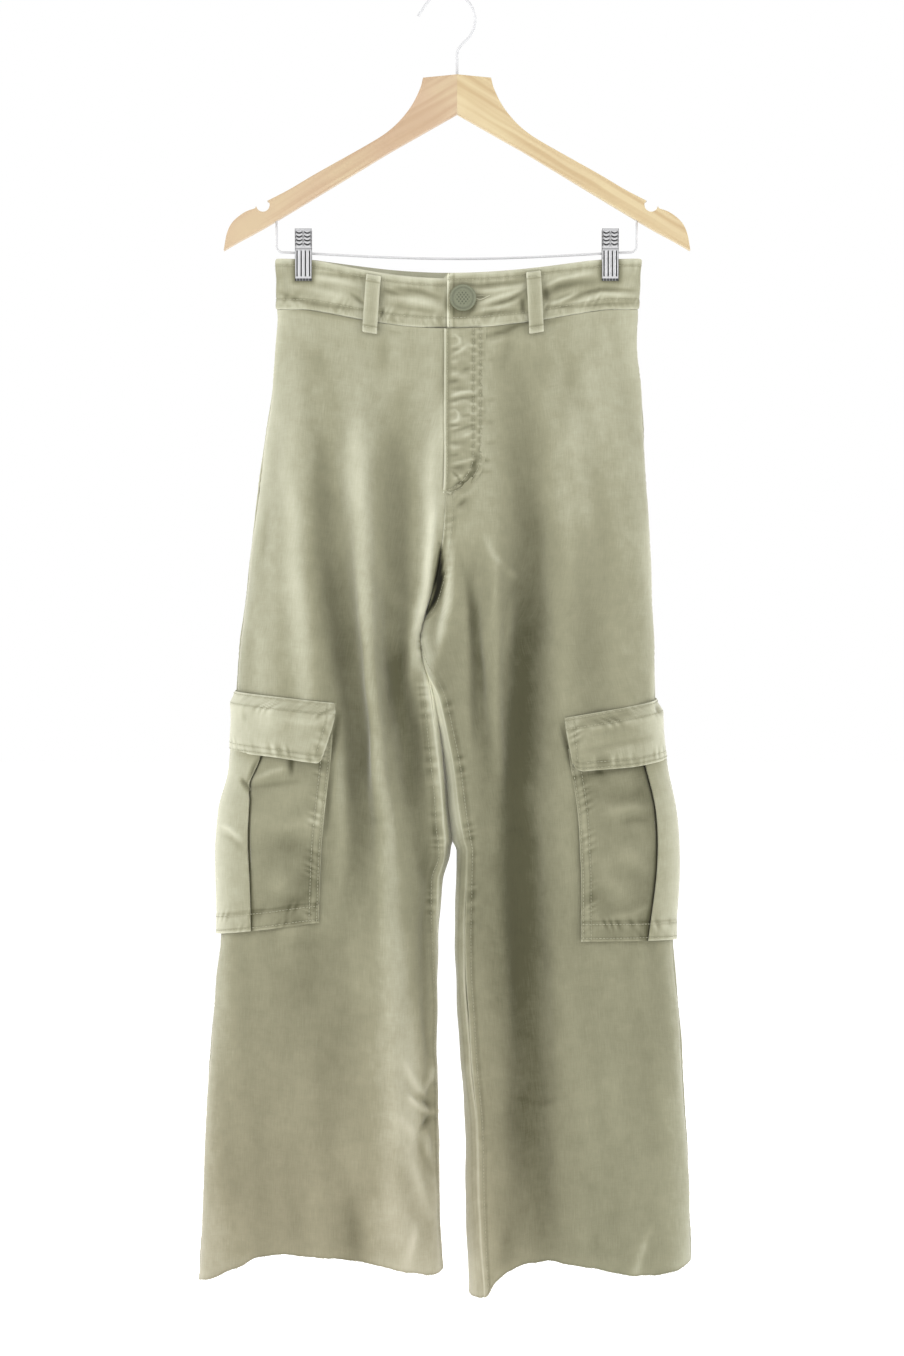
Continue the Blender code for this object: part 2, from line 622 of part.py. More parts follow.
def button(finish):
    """A turned metal button with a raised rim, on a short neck through the band."""
    share = (BUTTON_DROP - BAND_TOP - sag(BUTTON_X, SEAM_SAG)) / (WAIST_SEAM - BAND_TOP)
    drop = BAND_TOP + (WAIST_SEAM - BAND_TOP) * share
    angle = angle_at_x("left", "front", BUTTON_X, drop)
    seat = band_point("left", angle, share, BAND_PROUD + GAP)
    facing = Vector(seat - band_point("left", angle, share, -1.0)).normalized()
    profile = [
        # radius, height
        (0.0, 0.0), (0.0050, 0.0), (0.0060, 0.0008), (0.93 * BUTTON_RADIUS, 0.0009),
        (BUTTON_RADIUS, 0.0018), (0.97 * BUTTON_RADIUS, 0.0030), (0.88 * BUTTON_RADIUS, BUTTON_THICK),
        (0.78 * BUTTON_RADIUS, 0.0029), (0.40 * BUTTON_RADIUS, 0.0027), (0.0, 0.0028),
    ]
    shape = bmesh.new()
    line = [shape.verts.new((radius, 0, height)) for radius, height in profile]
    edges = [shape.edges.new(pair) for pair in zip(line, line[1:])]
    bmesh.ops.spin(
        shape, geom=line + edges, cent=(0, 0, 0), axis=(0, 0, 1), angle=2 * math.pi, steps=24, use_merge=True
    )
    bmesh.ops.remove_doubles(shape, verts=shape.verts, dist=0.00002)
    made = solid_from(shape, "waist_button", finish)
    made.rotation_mode = "QUATERNION"
    made.rotation_quaternion = facing.to_track_quat("Z", "X")
    made.location = Vector(seat)
    return made


def extruded(name, outline, thick, finish):
    """An outline in x and z, given thickness along y about y = 0."""
    shape = bmesh.new()
    face = shape.faces.new([shape.verts.new((x, -thick / 2, z)) for x, z in outline])
    moved = bmesh.ops.extrude_face_region(shape, geom=[face])["geom"]
    corners = [v for v in moved if isinstance(v, bmesh.types.BMVert)]
    bmesh.ops.translate(shape, vec=(0, thick, 0), verts=corners)
    return solid_from(shape, name, finish, smooth=False)


ARM_TOP = [
    # distance from the middle, drop: the upper edge from the neck to the shoulder notch
    (0.0000, 0.0773), (0.0325, 0.0805), (0.0350, 0.0902), (0.0418, 0.1045), (0.0508, 0.1172),
    (0.0636, 0.1300), (0.0827, 0.1428), (0.1337, 0.1715), (0.1595, 0.1868), (0.1810, 0.1980),
]
ARM_NOTCH = {"middle": 0.1852, "drop": 0.2018, "radius": 0.0065}
ARM_END = [
    # distance from the middle, drop: beyond the notch, round the shoulder to the tip and back
    (0.1925, 0.2050), (0.2030, 0.2090), (0.2140, 0.2180), (0.2195, 0.2290), (0.2225, 0.2450),
    (0.2070, 0.2360), (0.1720, 0.2165), (0.0636, 0.1508), (0.0000, 0.1147),
]


def arm_outline(way):
    """Half the hanger, from the middle joint round the shoulder and back under."""
    notch = []
    for degrees in (150, 190, 230, 270, 310, 350):
        turn = math.radians(degrees)
        notch.append((
            ARM_NOTCH["middle"] + ARM_NOTCH["radius"] * math.cos(turn),
            ARM_NOTCH["drop"] - ARM_NOTCH["radius"] * math.sin(turn),
        ))
    points = ARM_TOP + notch + ARM_END
    joint = GAP / 2
    return [(HANGER_X + way * max(reach, joint), -drop) for reach, drop in points]


def drill(body_object, x, low, high, radius):
    """Cuts a round hole up or down through the hanger's wood."""
    bpy.ops.mesh.primitive_cylinder_add(
        vertices=12, radius=radius, depth=high - low, location=(x, 0, (low + high) / 2)
    )
    cutter = bpy.context.object
    cutter.name = f"hole_{body_object.name}_{len(body_object.modifiers)}"
    cutter.hide_render = True
    cutter.display_type = "WIRE"
    cut = body_object.modifiers.new("hole", "BOOLEAN")
    cut.operation = "DIFFERENCE"
    cut.object = cutter


def hanger_arm(name, way, finish):
    """One wooden arm, grooved for the hook's shank at the joint and drilled for the bar's end."""
    arm = extruded(name, arm_outline(way), WOOD_THICK, finish)
    shank = HOOK_WIRE + HOLE_CLEARANCE
    top = -ARM_TOP[0][1]
    drill(arm, HANGER_X, top - HOOK_HOLE_DEPTH, top + 0.004, shank)
    bar_x = BAR_X[0] if way < 0 else BAR_X[1]
    drill(arm, bar_x, -BAR_DROP, arm_underside(bar_x) + BAR_HOLE_DEPTH * 0.6, BAR_WIRE + HOLE_CLEARANCE)
    return arm


def arm_underside(x):
    """Height of the arm's lower edge above a place on the bar."""
    (far, far_drop), (near, near_drop) = ARM_END[-3], ARM_END[-2]
    reach = abs(x - HANGER_X)
    return -(near_drop + (far_drop - near_drop) * (reach - near) / (far - near))


def wire(name, points, radius, finish):
    """A round wire along points, closed at both ends."""
    curve = bpy.data.curves.new(name, "CURVE")
    curve.dimensions = "3D"
    curve.bevel_depth = radius
    curve.bevel_resolution = 2
    curve.use_fill_caps = True
    line = curve.splines.new("POLY")
    line.points.add(len(points) - 1)
    for point, place in zip(line.points, points):
        point.co = (*place, 1)
    curve.materials.append(finish)
    made = bpy.data.objects.new(name, curve)
    bpy.context.collection.objects.link(made)
    return made


def hook(finish):
    """The shank, an S-bend out to the side, a round crook over the rod, and a flared tip."""
    inside = HOOK_RADIUS - HOOK_WIRE
    centre_z = -inside
    top = -ARM_TOP[0][1]
    foot = top - HOOK_HOLE_DEPTH + 2 * GAP
    bend_start = -0.0575
    points = [(HANGER_X, 0, foot + (bend_start - foot) * t) for t in np.linspace(0, 1, 6)]
    join = math.radians(-46)
    join_point = np.array([HOOK_RADIUS * math.cos(join), centre_z + HOOK_RADIUS * math.sin(join)])
    join_way = np.array([-math.sin(join), math.cos(join)])
    start_point, start_way = np.array([HANGER_X, bend_start]), np.array([0.0, 1.0])
    reach = np.linalg.norm(join_point - start_point) / 3
    handles = [start_point, start_point + start_way * reach, join_point - join_way * reach, join_point]
    for t in np.linspace(0.15, 0.85, 5):
        weights = ((1 - t) ** 3, 3 * t * (1 - t) ** 2, 3 * t * t * (1 - t), t**3)
        x, z = sum(w * h for w, h in zip(weights, handles))
        points.append((x, 0, z))
    for degrees in np.linspace(-46, 150, 24):
        turn = math.radians(degrees)
        points.append((HOOK_RADIUS * math.cos(turn), 0, centre_z + HOOK_RADIUS * math.sin(turn)))
    for degrees, flare in ((158, 0.0004), (166, 0.0014), (173, 0.0030)):
        turn = math.radians(degrees)
        radius = HOOK_RADIUS + flare
        points.append((radius * math.cos(turn), 0, centre_z + radius * math.sin(turn)))
    return wire("hanger_hook", points, HOOK_WIRE, finish)


def bar_drop(x):
    """Drop of the bar's middle, bowed by the weight it carries."""
    share = (x - BAR_X[0]) / (BAR_X[1] - BAR_X[0])
    return BAR_DROP + BAR_SAG * math.sin(math.pi * share) ** 1.2


def bar(finish):
    """The wire that carries the clips: up into both arms, with rounded corners."""
    left, right = BAR_X
    top_left = arm_underside(left) + BAR_HOLE_DEPTH * 0.5
    top_right = arm_underside(right) + BAR_HOLE_DEPTH * 0.5
    low = -BAR_DROP
    points = [(left, 0, top_left + (low + BAR_CORNER - top_left) * t) for t in np.linspace(0, 1, 5)]
    for degrees in (200, 220, 240, 255):
        turn = math.radians(degrees)
        points.append((
            left + BAR_CORNER + BAR_CORNER * math.cos(turn),
            0,
            low + BAR_CORNER + BAR_CORNER * math.sin(turn),
        ))
    for x in np.linspace(left + BAR_CORNER, right - BAR_CORNER, 26):
        points.append((x, 0, -bar_drop(x)))
    for degrees in (285, 300, 320, 340):
        turn = math.radians(degrees)
        points.append((
            right - BAR_CORNER + BAR_CORNER * math.cos(turn),
            0,
            low + BAR_CORNER + BAR_CORNER * math.sin(turn),
        ))
    bend_top = low + BAR_CORNER
    points += [(right, 0, bend_top + (top_right - bend_top) * t) for t in np.linspace(0, 1, 5)]
    return wire("trouser_bar", points, BAR_WIRE, finish)


def clip_jaw(name, x, way, finish):
    """A bent plate: flared finger tab, straight over the spring, closing on the cloth at its lip."""
    grip = WAIST_PINCHED + BAND_PROUD + GAP
    axis = bar_drop(x)
    at_spring = SPRING_RADIUS + GAP
    line = [
        # distance from the middle plane, drop: the plate's inner face
        (at_spring + 0.0042, CLIP_TOP), (at_spring + 0.0008, axis - 0.0070), (at_spring, axis - 0.0040),
        (at_spring, axis + 0.0040), (at_spring - 0.0002, axis + 0.0090),
        (grip + 0.0010, CLIP_BOTTOM - 0.0060), (grip, CLIP_BOTTOM - 0.0030), (grip, CLIP_BOTTOM),
    ]
    outline = [(way * y, -drop) for y, drop in line]
    outline += [(way * (y + CLIP_WALL), -drop) for y, drop in line[::-1]]
    shape = bmesh.new()
    face = shape.faces.new([shape.verts.new((x - CLIP_WIDTH / 2, y, z)) for y, z in outline])
    moved = bmesh.ops.extrude_face_region(shape, geom=[face])["geom"]
    corners = [v for v in moved if isinstance(v, bmesh.types.BMVert)]
    bmesh.ops.translate(shape, vec=(CLIP_WIDTH, 0, 0), verts=corners)
    return solid_from(shape, name, finish, smooth=False)


def clip_spring(name, x, finish):
    """The coiled spring as one sleeve on the bar."""
    length, bore = 0.0110, BAR_WIRE + GAP
    shape = bmesh.new()
    corners = [
        (-length / 2, bore), (-length / 2, SPRING_RADIUS), (length / 2, SPRING_RADIUS), (length / 2, bore),
    ]
    ring = [shape.verts.new((along, radius, 0)) for along, radius in corners]
    edges = [shape.edges.new(pair) for pair in zip(ring, ring[1:] + ring[:1])]
    bmesh.ops.spin(
        shape, geom=ring + edges, cent=(0, 0, 0), axis=(1, 0, 0), angle=2 * math.pi, steps=14, use_merge=True
    )
    made = solid_from(shape, name, finish)
    made.location = (x, 0, -bar_drop(x))
    lean = math.atan2(bar_drop(x + 0.004) - bar_drop(x - 0.004), 0.008)
    made.rotation_euler = (0, lean, 0)
    return made


def main():
    denim = material("denim", DENIM, 0.9)
    pale = material("denim_pale", DENIM_PALE, 0.9)
    for leg in ("right", "left"):
        panel(leg, "front", 20, denim)
        panel(leg, "back", 18, denim)
        cargo_pocket(leg, denim)
        cargo_flap(leg, pale)
    waistband(denim)
    for loop in LOOPS:
        belt_loop(*loop, pale)
    fly(denim)
    button(material("button_metal", BUTTON_METAL, 0.45, 0.3))
    wood = material("wood", WOOD, 0.5)
    steel = material("steel", STEEL, 0.25, 1.0)
    hanger_arm("hanger_arm_right", -1, wood)
    hanger_arm("hanger_arm_left", 1, wood)
    hook(steel)
    bar(steel)
    for side, x in zip(("right", "left"), CLIP_X):
        clip_jaw(f"clip_{side}_front", x, -1, steel)
        clip_jaw(f"clip_{side}_back", x, 1, steel)
        clip_spring(f"clip_{side}_spring", x, steel)


main()
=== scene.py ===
"""Looks of the wide-leg cargo jeans on their clip hanger: cloth, sewing, wood, wire and clips.

Metres, in the part's own frame: the origin is the inside top of the hook, +Z is up and the front of
the jeans faces -Y. Left and right are the wearer's, so the right leg is at -X. A drop is a distance
below the origin, and an angle on a leg is 0 at the side, 180 degrees at the inner leg by way of the
front, and -180 degrees there by way of the back.
"""

import math

import bmesh
import bpy
import numpy as np
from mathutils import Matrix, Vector


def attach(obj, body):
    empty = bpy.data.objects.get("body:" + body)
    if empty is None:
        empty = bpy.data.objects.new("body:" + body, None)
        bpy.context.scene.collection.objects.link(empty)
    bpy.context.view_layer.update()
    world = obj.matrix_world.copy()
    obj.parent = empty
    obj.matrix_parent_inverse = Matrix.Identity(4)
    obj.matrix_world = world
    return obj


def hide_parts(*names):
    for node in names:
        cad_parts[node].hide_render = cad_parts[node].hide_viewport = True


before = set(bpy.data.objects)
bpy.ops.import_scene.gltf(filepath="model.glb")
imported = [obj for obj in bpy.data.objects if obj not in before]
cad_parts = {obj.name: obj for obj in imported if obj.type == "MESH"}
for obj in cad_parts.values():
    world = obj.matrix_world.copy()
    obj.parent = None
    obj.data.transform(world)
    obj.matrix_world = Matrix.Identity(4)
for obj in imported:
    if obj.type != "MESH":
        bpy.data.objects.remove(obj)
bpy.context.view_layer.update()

# Cloth and seams, as in the part
CLOTH = 0.0012
GAP = 0.0003
# What a solid's flat faces may stand off its curved form
CHORD = 0.0006
BAND_WALL = 0.0024
BAND_PROUD = 0.0008
LOOP_WALL = 0.0016
FLAP_WALL = 0.0018
POCKET_WALL = 0.0010
FLY_WALL = 0.0010

# Heights of the garment, as drops
BAND_TOP = 0.2529
WAIST_SEAM = 0.3016
FLY_END = 0.4790
CROTCH = 0.5996
HEM = 1.2184
RISE_CURVE = 0.110
INNER_ROUND = 0.95
FOLD_MARGIN = 0.035

# The waist between the two clips
CLIP_X = (-0.1380, 0.1548)
CENTRE_X = -0.0010
WAIST_RIM = 0.0050
WAIST_PINCHED = 0.0020
WAIST_OPEN = {"front": 0.0095, "back": 0.0070}
PINCH_WIDTH = 0.018
SEAM_SAG = 0.0185
TOP_SAG = {"right": 0.0195, "left": 0.0145, "back": 0.0120}
SAG_FADES_AT = 0.46
CLIP_END = 0.2745
FULL_DEPTH_AT = 0.43

# Outline and depth of the garment at each height
BODY = [
    # drop, right leg outer, right leg inner, left leg inner, left leg outer, front, back, side rounding
    (0.2529, -0.1643, -0.0010, -0.0010, 0.1843, 0.012, 0.012, 0.0050),
    (0.3016, -0.1633, -0.0010, -0.0010, 0.1815, 0.019, 0.022, 0.0120),
    (0.3300, -0.1655, -0.0010, -0.0010, 0.1800, 0.023, 0.028, 0.0500),
    (0.3875, -0.1710, -0.0012, -0.0012, 0.1853, 0.030, 0.042, 0.0900),
    (0.4448, -0.1786, -0.0015, -0.0015, 0.1881, 0.036, 0.054, 0.0950),
    (0.5020, -0.1853, -0.0035, -0.0035, 0.1910, 0.041, 0.060, 0.1000),
    (0.5403, -0.1900, -0.0076, -0.0076, 0.1930, 0.043, 0.060, 0.1000),
    (0.5785, -0.1945, -0.0162, -0.0162, 0.1950, 0.044, 0.057, 0.1000),
    (0.5996, -0.1970, -0.0226, -0.0214, 0.1965, 0.044, 0.054, 0.1000),
    (0.6167, -0.1996, -0.0252, -0.0240, 0.1975, 0.044, 0.052, 0.0980),
    (0.6740, -0.2045, -0.0140, -0.0128, 0.2000, 0.043, 0.048, 0.0980),
    (0.7313, -0.2085, -0.0044, -0.0032, 0.2065, 0.042, 0.046, 0.0980),
    (0.7886, -0.2150, 0.0024, 0.0036, 0.2150, 0.042, 0.045, 0.1050),
    (0.8173, -0.2178, 0.0035, 0.0080, 0.2168, 0.042, 0.045, 0.1100),
    (0.8459, -0.2187, -0.0048, 0.0076, 0.2177, 0.042, 0.045, 0.1070),
    (0.9032, -0.2206, -0.0105, 0.0068, 0.2177, 0.042, 0.046, 0.1050),
    (1.0178, -0.2282, -0.0105, 0.0115, 0.2235, 0.044, 0.048, 0.1080),
    (1.0751, -0.2320, -0.0088, 0.0162, 0.2273, 0.045, 0.049, 0.1100),
    (1.1324, -0.2340, -0.0086, 0.0168, 0.2302, 0.046, 0.050, 0.1120),
    (1.2184, -0.2368, -0.0055, 0.0215, 0.2311, 0.048, 0.052, 0.1150),
]
BODY_COLUMNS = (
    "drop", "right_outer", "right_inner", "left_inner", "left_outer", "front", "back", "side_round",
)

# How far each seam is turned from the silhouette towards the front, in degrees
SEAM_TURNS = [
    # drop, right inseam, left inseam, right side seam, left side seam
    (0.2529, 0, 0, 0, 0),
    (0.5996, 0, 0, 2, 6),
    (0.6740, 18, 22, 2, 9),
    (0.7886, 24, 26, 2, 6),
    (0.9032, 6, 24, 0, 2),
    (1.0178, 2, 26, 0, 0),
    (1.2184, 2, 30, 0, 0),
]
TURN_COLUMNS = ("drop", "right_inseam", "left_inseam", "right_side", "left_side")

# Soft vertical folds. Height is out of the cloth for a ridge and negative for a valley.
FOLDS = [
    # face, top drop, top x, middle drop, middle x, end drop, end x, half width, height
    ("front", 0.33, -0.155, 0.50, -0.155, 0.67, -0.140, 0.015, 0.006),
    ("front", 0.33, -0.124, 0.55, -0.106, 0.86, -0.076, 0.015, -0.012),
    ("front", 0.30, -0.092, 0.65, -0.074, 1.30, -0.038, 0.011, 0.009),
    ("front", 0.33, -0.052, 0.55, -0.050, 0.82, -0.028, 0.016, -0.012),
    ("front", 0.40, -0.014, 0.50, -0.016, 0.60, -0.028, 0.010, 0.004),
    ("front", 0.50, 0.028, 0.62, 0.026, 0.75, 0.030, 0.007, -0.007),
    ("front", 0.52, 0.046, 0.62, 0.046, 0.76, 0.044, 0.008, 0.004),
    ("front", 0.31, 0.060, 0.62, 0.078, 1.30, 0.078, 0.021, -0.018),
    ("front", 0.34, 0.125, 0.55, 0.116, 0.70, 0.112, 0.018, 0.005),
    ("front", 1.08, -0.120, 1.20, -0.128, 1.40, -0.130, 0.030, -0.008),
    ("back", 0.31, -0.110, 0.62, -0.096, 1.30, -0.110, 0.020, -0.014),
    ("back", 0.33, -0.060, 0.60, -0.056, 0.95, -0.062, 0.014, 0.007),
    ("back", 0.31, 0.062, 0.60, 0.066, 0.98, 0.080, 0.016, -0.011),
    ("back", 0.33, 0.100, 0.62, 0.094, 1.30, 0.104, 0.014, 0.008),
    ("back", 0.33, 0.142, 0.50, 0.148, 0.67, 0.150, 0.018, -0.007),
]
FOLD_COLUMNS = ("face", "top", "top_x", "middle", "middle_x", "end", "end_x", "half_width", "height")

# Drop of the raw hem round each leg, by angle in degrees
HEM_EDGE = [
    # angle, right leg, left leg
    (-180, 1.2120, 1.2370),
    (-150, 1.2040, 1.2160),
    (-120, 1.1990, 1.2020),
    (-90, 1.1980, 1.2010),
    (-50, 1.1990, 1.2020),
    (-25, 1.2120, 1.2060),
    (0, 1.2265, 1.2070),
    (20, 1.2255, 1.2120),
    (30, 1.2217, 1.2150),
    (40, 1.2153, 1.2170),
    (48, 1.2113, 1.2182),
    (60, 1.2006, 1.2184),
    (72, 1.1977, 1.2150),
    (83, 1.2002, 1.2110),
    (95, 1.2020, 1.2070),
    (106, 1.2035, 1.2040),
    (118, 1.2080, 1.2065),
    (131, 1.2135, 1.2150),
    (141, 1.2170, 1.2265),
    (148, 1.2189, 1.2390),
    (157, 1.2195, 1.2425),
    (169, 1.2165, 1.2410),
    (180, 1.2120, 1.2370),
]
HEM_FADES_FROM = 1.02

# Cargo pockets: centre is an arc length from the silhouette towards the front. What the front edges
# of the flap and of the pocket reach beyond half the width is given too, and may be negative. The
# tones pale or darken the whole pocket, paint a highlight on its side and paint shade on its lower
# front, under the flap and beside the pleat.
POCKETS = {
    "right": {
        "centre": 0.011, "tilt": 0.10, "flap_top": 0.6660, "bottom": 0.8965, "foot_tilt": -0.115,
        "flap_front_top": -0.0045, "flap_front_low": -0.0150, "flap_front_rise": 0.0, "pocket_front": -0.0045,
        "tone": 0.06, "side_highlight": 0.35, "low_front": 0.16, "low_edge": 0.26, "under_flap": 0.30,
        "pleat_shadow": 0.12, "seed": 90, "swell_seed": 101,
        "flap_tone": 0.16, "flap_corner": 0.004, "flap_stands": 0.0055, "flap_seed": 110,
    },
    "left": {
        "centre": -0.004, "tilt": 0.17, "flap_top": 0.6720, "bottom": 0.9020, "foot_tilt": 0.0,
        "flap_front_top": 0.0025, "flap_front_low": 0.0, "flap_front_rise": 0.0050, "pocket_front": 0.0045,
        "tone": -0.02, "side_highlight": 0.12, "low_front": 0.10, "low_edge": 0.0, "under_flap": 0.50,
        "pleat_shadow": 0.85, "seed": 97, "swell_seed": 102,
        "flap_tone": -0.04, "flap_corner": 0.010, "flap_stands": 0.0015, "flap_seed": 117,
    },
}
POCKET_WIDTH = 0.214
POCKET_TOP_BELOW_FLAP = 0.030
PLEAT_STRIP = 0.062
PLEAT_UNDER = 0.010
FLAP_WIDTH = 0.218
FLAP_HEIGHT = 0.0570
FLAP_RAMP = 0.014
FLAP_SEWING = [
    # edge, distance from it, stretch as shares, depth of the puckers, depth of the groove
    ("top", 0.0120, (0, 1), 0.00046, 0.0006),
    ("top", 0.0020, (0, 1), 0.00018, 0.00022),
    ("bottom", 0.0078, (0.04, 0.96), 0.00044, 0.0006),
    ("bottom", 0.0024, (0.02, 0.98), 0.00022, 0.00022),
    ("left", 0.0090, (0.05, 0.86), 0.00038, 0.0006),
    ("right", 0.0090, (0.05, 0.86), 0.00038, 0.0006),
]

# Belt loops, on the waistband
LOOP_WIDTH = 0.0140
LOOP_ABOVE = 0.0035
LOOP_BELOW = 0.0120
LOOP_SLACK = 0.0024
LOOPS = [
    # name, leg, face, x at the top, x at the bottom
    ("belt_loop_front_right", "right", "front", -0.0705, -0.0745),
    ("belt_loop_front_left", "left", "front", 0.0810, 0.0840),
    ("belt_loop_back_right", "right", "back", -0.0800, -0.0800),
    ("belt_loop_back_centre", "left", "back", 0.0090, 0.0090),
    ("belt_loop_back_left", "left", "back", 0.0980, 0.0980),
]

# Fly and button
FLY_WIDTH = 0.0370
FLY_LAP = 0.0025
FLY_CURVE = 0.036
UNDERLAP = 0.026
UNDERLAP_PUSH = BAND_WALL + GAP
BUTTON_X = 0.0142
BUTTON_DROP = 0.2935
BUTTON_RADIUS = 0.0127

# Hanger
HANGER_X = 0.0086
WOOD_THICK = 0.0125
WOOD_ROUND = 0.0026
BAR_X = (-0.1637, 0.1801)
BAR_DROP = 0.2462
BAR_SAG = 0.0065
CLIP_WIDTH = 0.0160
CLIP_TOP = 0.2247
CLIP_BOTTOM = 0.2740
CLIP_WALL = 0.0011
SPRING_RADIUS = 0.0042

# Grid sizes of the finished cloth
SEAM_SLIT = 0.00004
NEAR_CROTCH = (0.0, 0.0004, 0.0016, 0.0035, 0.007, 0.012)
FRONT_STEP = 0.0022
BACK_STEP = 0.0028
BAND_STEP = 0.0015

# Sewing, swells and tones
SPAN_FADE = 0.01
SHARP_FROM = math.radians(50)
# Painted shade on puckers: tone per metre of pucker height
PAINTED_SHADE_OF_PUCKER = 900
PANEL_SWELL = 0.0011
PANEL_SEEDS = {
    # of the sewing and of the swells
    ("right", "front"): (3, 20), ("right", "back"): (3, 25),
    ("left", "front"): (11, 30), ("left", "back"): (11, 35),
}
# Middles of the two stretches of painted shadow under the front waistband, in x
BAND_SHADOW_X = (-0.112, 0.062)
DRAPE_WANDER = 0.0016
DRAPE_SEED = 9
FIRST_DRAPE_SEED = 200
BAND_SEED = 41
FLY_SEED = 83
LOOP_SEED = 60
HEM_SEEDS = {"right": 7, "left": 8}
LEGS_MEET = {"left": 0.0024, "right": 0.0009, "lower": 0.0014}
STITCH = [
    # share of the stitch's length, then its rise and its half width as shares of the thread's radius
    (0.0, -0.5, 0.45),
    (0.12, 0.35, 0.95),
    (0.5, 0.75, 1.0),
    (0.88, 0.35, 0.95),
    (1.0, -0.5, 0.45),
]
STITCH_ARCH = np.array([0.0, 0.0004, 0.0004, 0.0])[None, :, None]
TACK_PITCH = 0.00042
TACK_HALF = 0.0013
TACK_SLANT = 0.35
FRAY_PITCH = 0.0011
FRAY_SIZES = (0.00020, 0.00018, 0.00014, 0.00007)

# Colours as the shader takes them. Cloth and thread: plain, paler and darker
DENIM_COLOURS = ((0.256, 0.249, 0.166), (0.530, 0.526, 0.406), (0.086, 0.083, 0.046))
THREAD_COLOURS = ((0.33, 0.323, 0.227), (0.46, 0.45, 0.34), (0.17, 0.165, 0.105))
FRAY_COLOURS = ((0.42, 0.41, 0.31), (0.68, 0.68, 0.60), (0.22, 0.21, 0.14))
WARM_HEMS = (1.04, 0.985, 0.99)
RIB_PITCH = 0.00135
WEFT_PITCH = 0.00085
WOOD_COLOURS = {
    # pale, pinker, and the grain lines
    "right": ((0.48, 0.375, 0.235), (0.45, 0.320, 0.215), (0.40, 0.275, 0.170)),
    "left": ((0.53, 0.435, 0.258), (0.50, 0.392, 0.235), (0.42, 0.305, 0.165)),
}
WIRE_COLOUR = (0.53, 0.53, 0.54)
CHROME_COLOUR = (0.47, 0.47, 0.48)
BUTTON_COLOUR = (0.165, 0.176, 0.114)

# Light
LAMPS = [
    # name, place, size, power
    ("left_box", (-2.4, -1.5, 0.7), 1.8, 50.0),
    ("right_box", (2.4, -1.5, 0.6), 1.8, 42.0),
    ("top_box", (0.0, -1.8, 2.0), 1.4, 24.0),
    ("back_left", (-2.0, 2.6, 0.4), 1.8, 36.0),
    ("back_right", (2.0, 2.6, 0.3), 1.8, 30.0),
]
LIGHT_AIM = (0.0, 0.0, -0.55)
ROOM_LIGHT = 0.34
BACKDROP_LIGHT = 1.0


def smoothstep(value):
    """0 below 0, 1 above 1, and a soft curve between."""
    t = np.clip(value, 0.0, 1.0)
    return t * t * (3 - 2 * t)


def column(table, columns, name, at):
    """A column of a table at any height, on a smooth curve through its rows that never overshoots."""
    rows = np.array([[row[0], row[columns.index(name)]] for row in table], float)
    x, y = rows[:, 0], rows[:, 1]
    at = np.clip(at, x[0], x[-1])
    step = np.diff(y) / np.diff(x)
    same_way = step[:-1] * step[1:] > 0
    middle = np.where(same_way, 2 * step[:-1] * step[1:] / np.where(same_way, step[:-1] + step[1:], 1), 0)
    slope = np.concatenate([[step[0]], middle, [step[-1]]])
    i = np.clip(np.searchsorted(x, at) - 1, 0, len(x) - 2)
    h = x[i + 1] - x[i]
    t = (at - x[i]) / h
    return (
        (2 * t**3 - 3 * t**2 + 1) * y[i]
        + (t**3 - 2 * t**2 + t) * h * slope[i]
        + (3 * t**2 - 2 * t**3) * y[i + 1]
        + (t**3 - t**2) * h * slope[i + 1]
    )


def body(name, drop):
    return column(BODY, BODY_COLUMNS, name, drop)


def seam_turn(name, drop):
    return np.radians(column(SEAM_TURNS, TURN_COLUMNS, name, drop))


def rounding(reach, width):
    """0 at an edge, rising on a quarter of an ellipse to 1 at that distance from it."""
    return np.sqrt(np.clip(1 - np.clip(1 - reach / width, 0, 1) ** 2, 0, 1))


def rise_opened(drop):
    """0 from the crotch down, and 1 where the rise curve has reached the full depth above it."""
    return np.sin(np.clip((CROTCH - drop) / RISE_CURVE, 0, 1) ** 0.75 * math.pi / 2)


def fold_height(face, x, drop):
    """All the soft folds of one face, at a place."""
    total = np.zeros(np.broadcast(x, drop).shape)
    for row in FOLDS:
        fold = dict(zip(FOLD_COLUMNS, row))
        if fold["face"] == face:
            heights = (fold["top"], fold["middle"], fold["end"])
            centre = np.interp(drop, heights, (fold["top_x"], fold["middle_x"], fold["end_x"]))
            run = (drop - fold["top"]) / (fold["end"] - fold["top"])
            fade = smoothstep(run / 0.25) * falls(run, 1, 0.25)
            total = total + fold["height"] * fade * bell(x - centre, fold["half_width"])
    return total


def waist_depth(face, x):
    """Half depth of the waist: pinched flat at the clips, a little open between them."""
    half = (CLIP_X[1] - CLIP_X[0]) / 2
    middle = (CLIP_X[1] + CLIP_X[0]) / 2
    bump = np.cos(np.clip((x - middle) / half, -1, 1) * math.pi / 2) ** 2
    depth = WAIST_RIM + WAIST_OPEN[face] * bump
    for clip_x in CLIP_X:
        well = bell(x - clip_x, PINCH_WIDTH, 6)
        depth = depth - (depth - WAIST_PINCHED) * well
    return depth


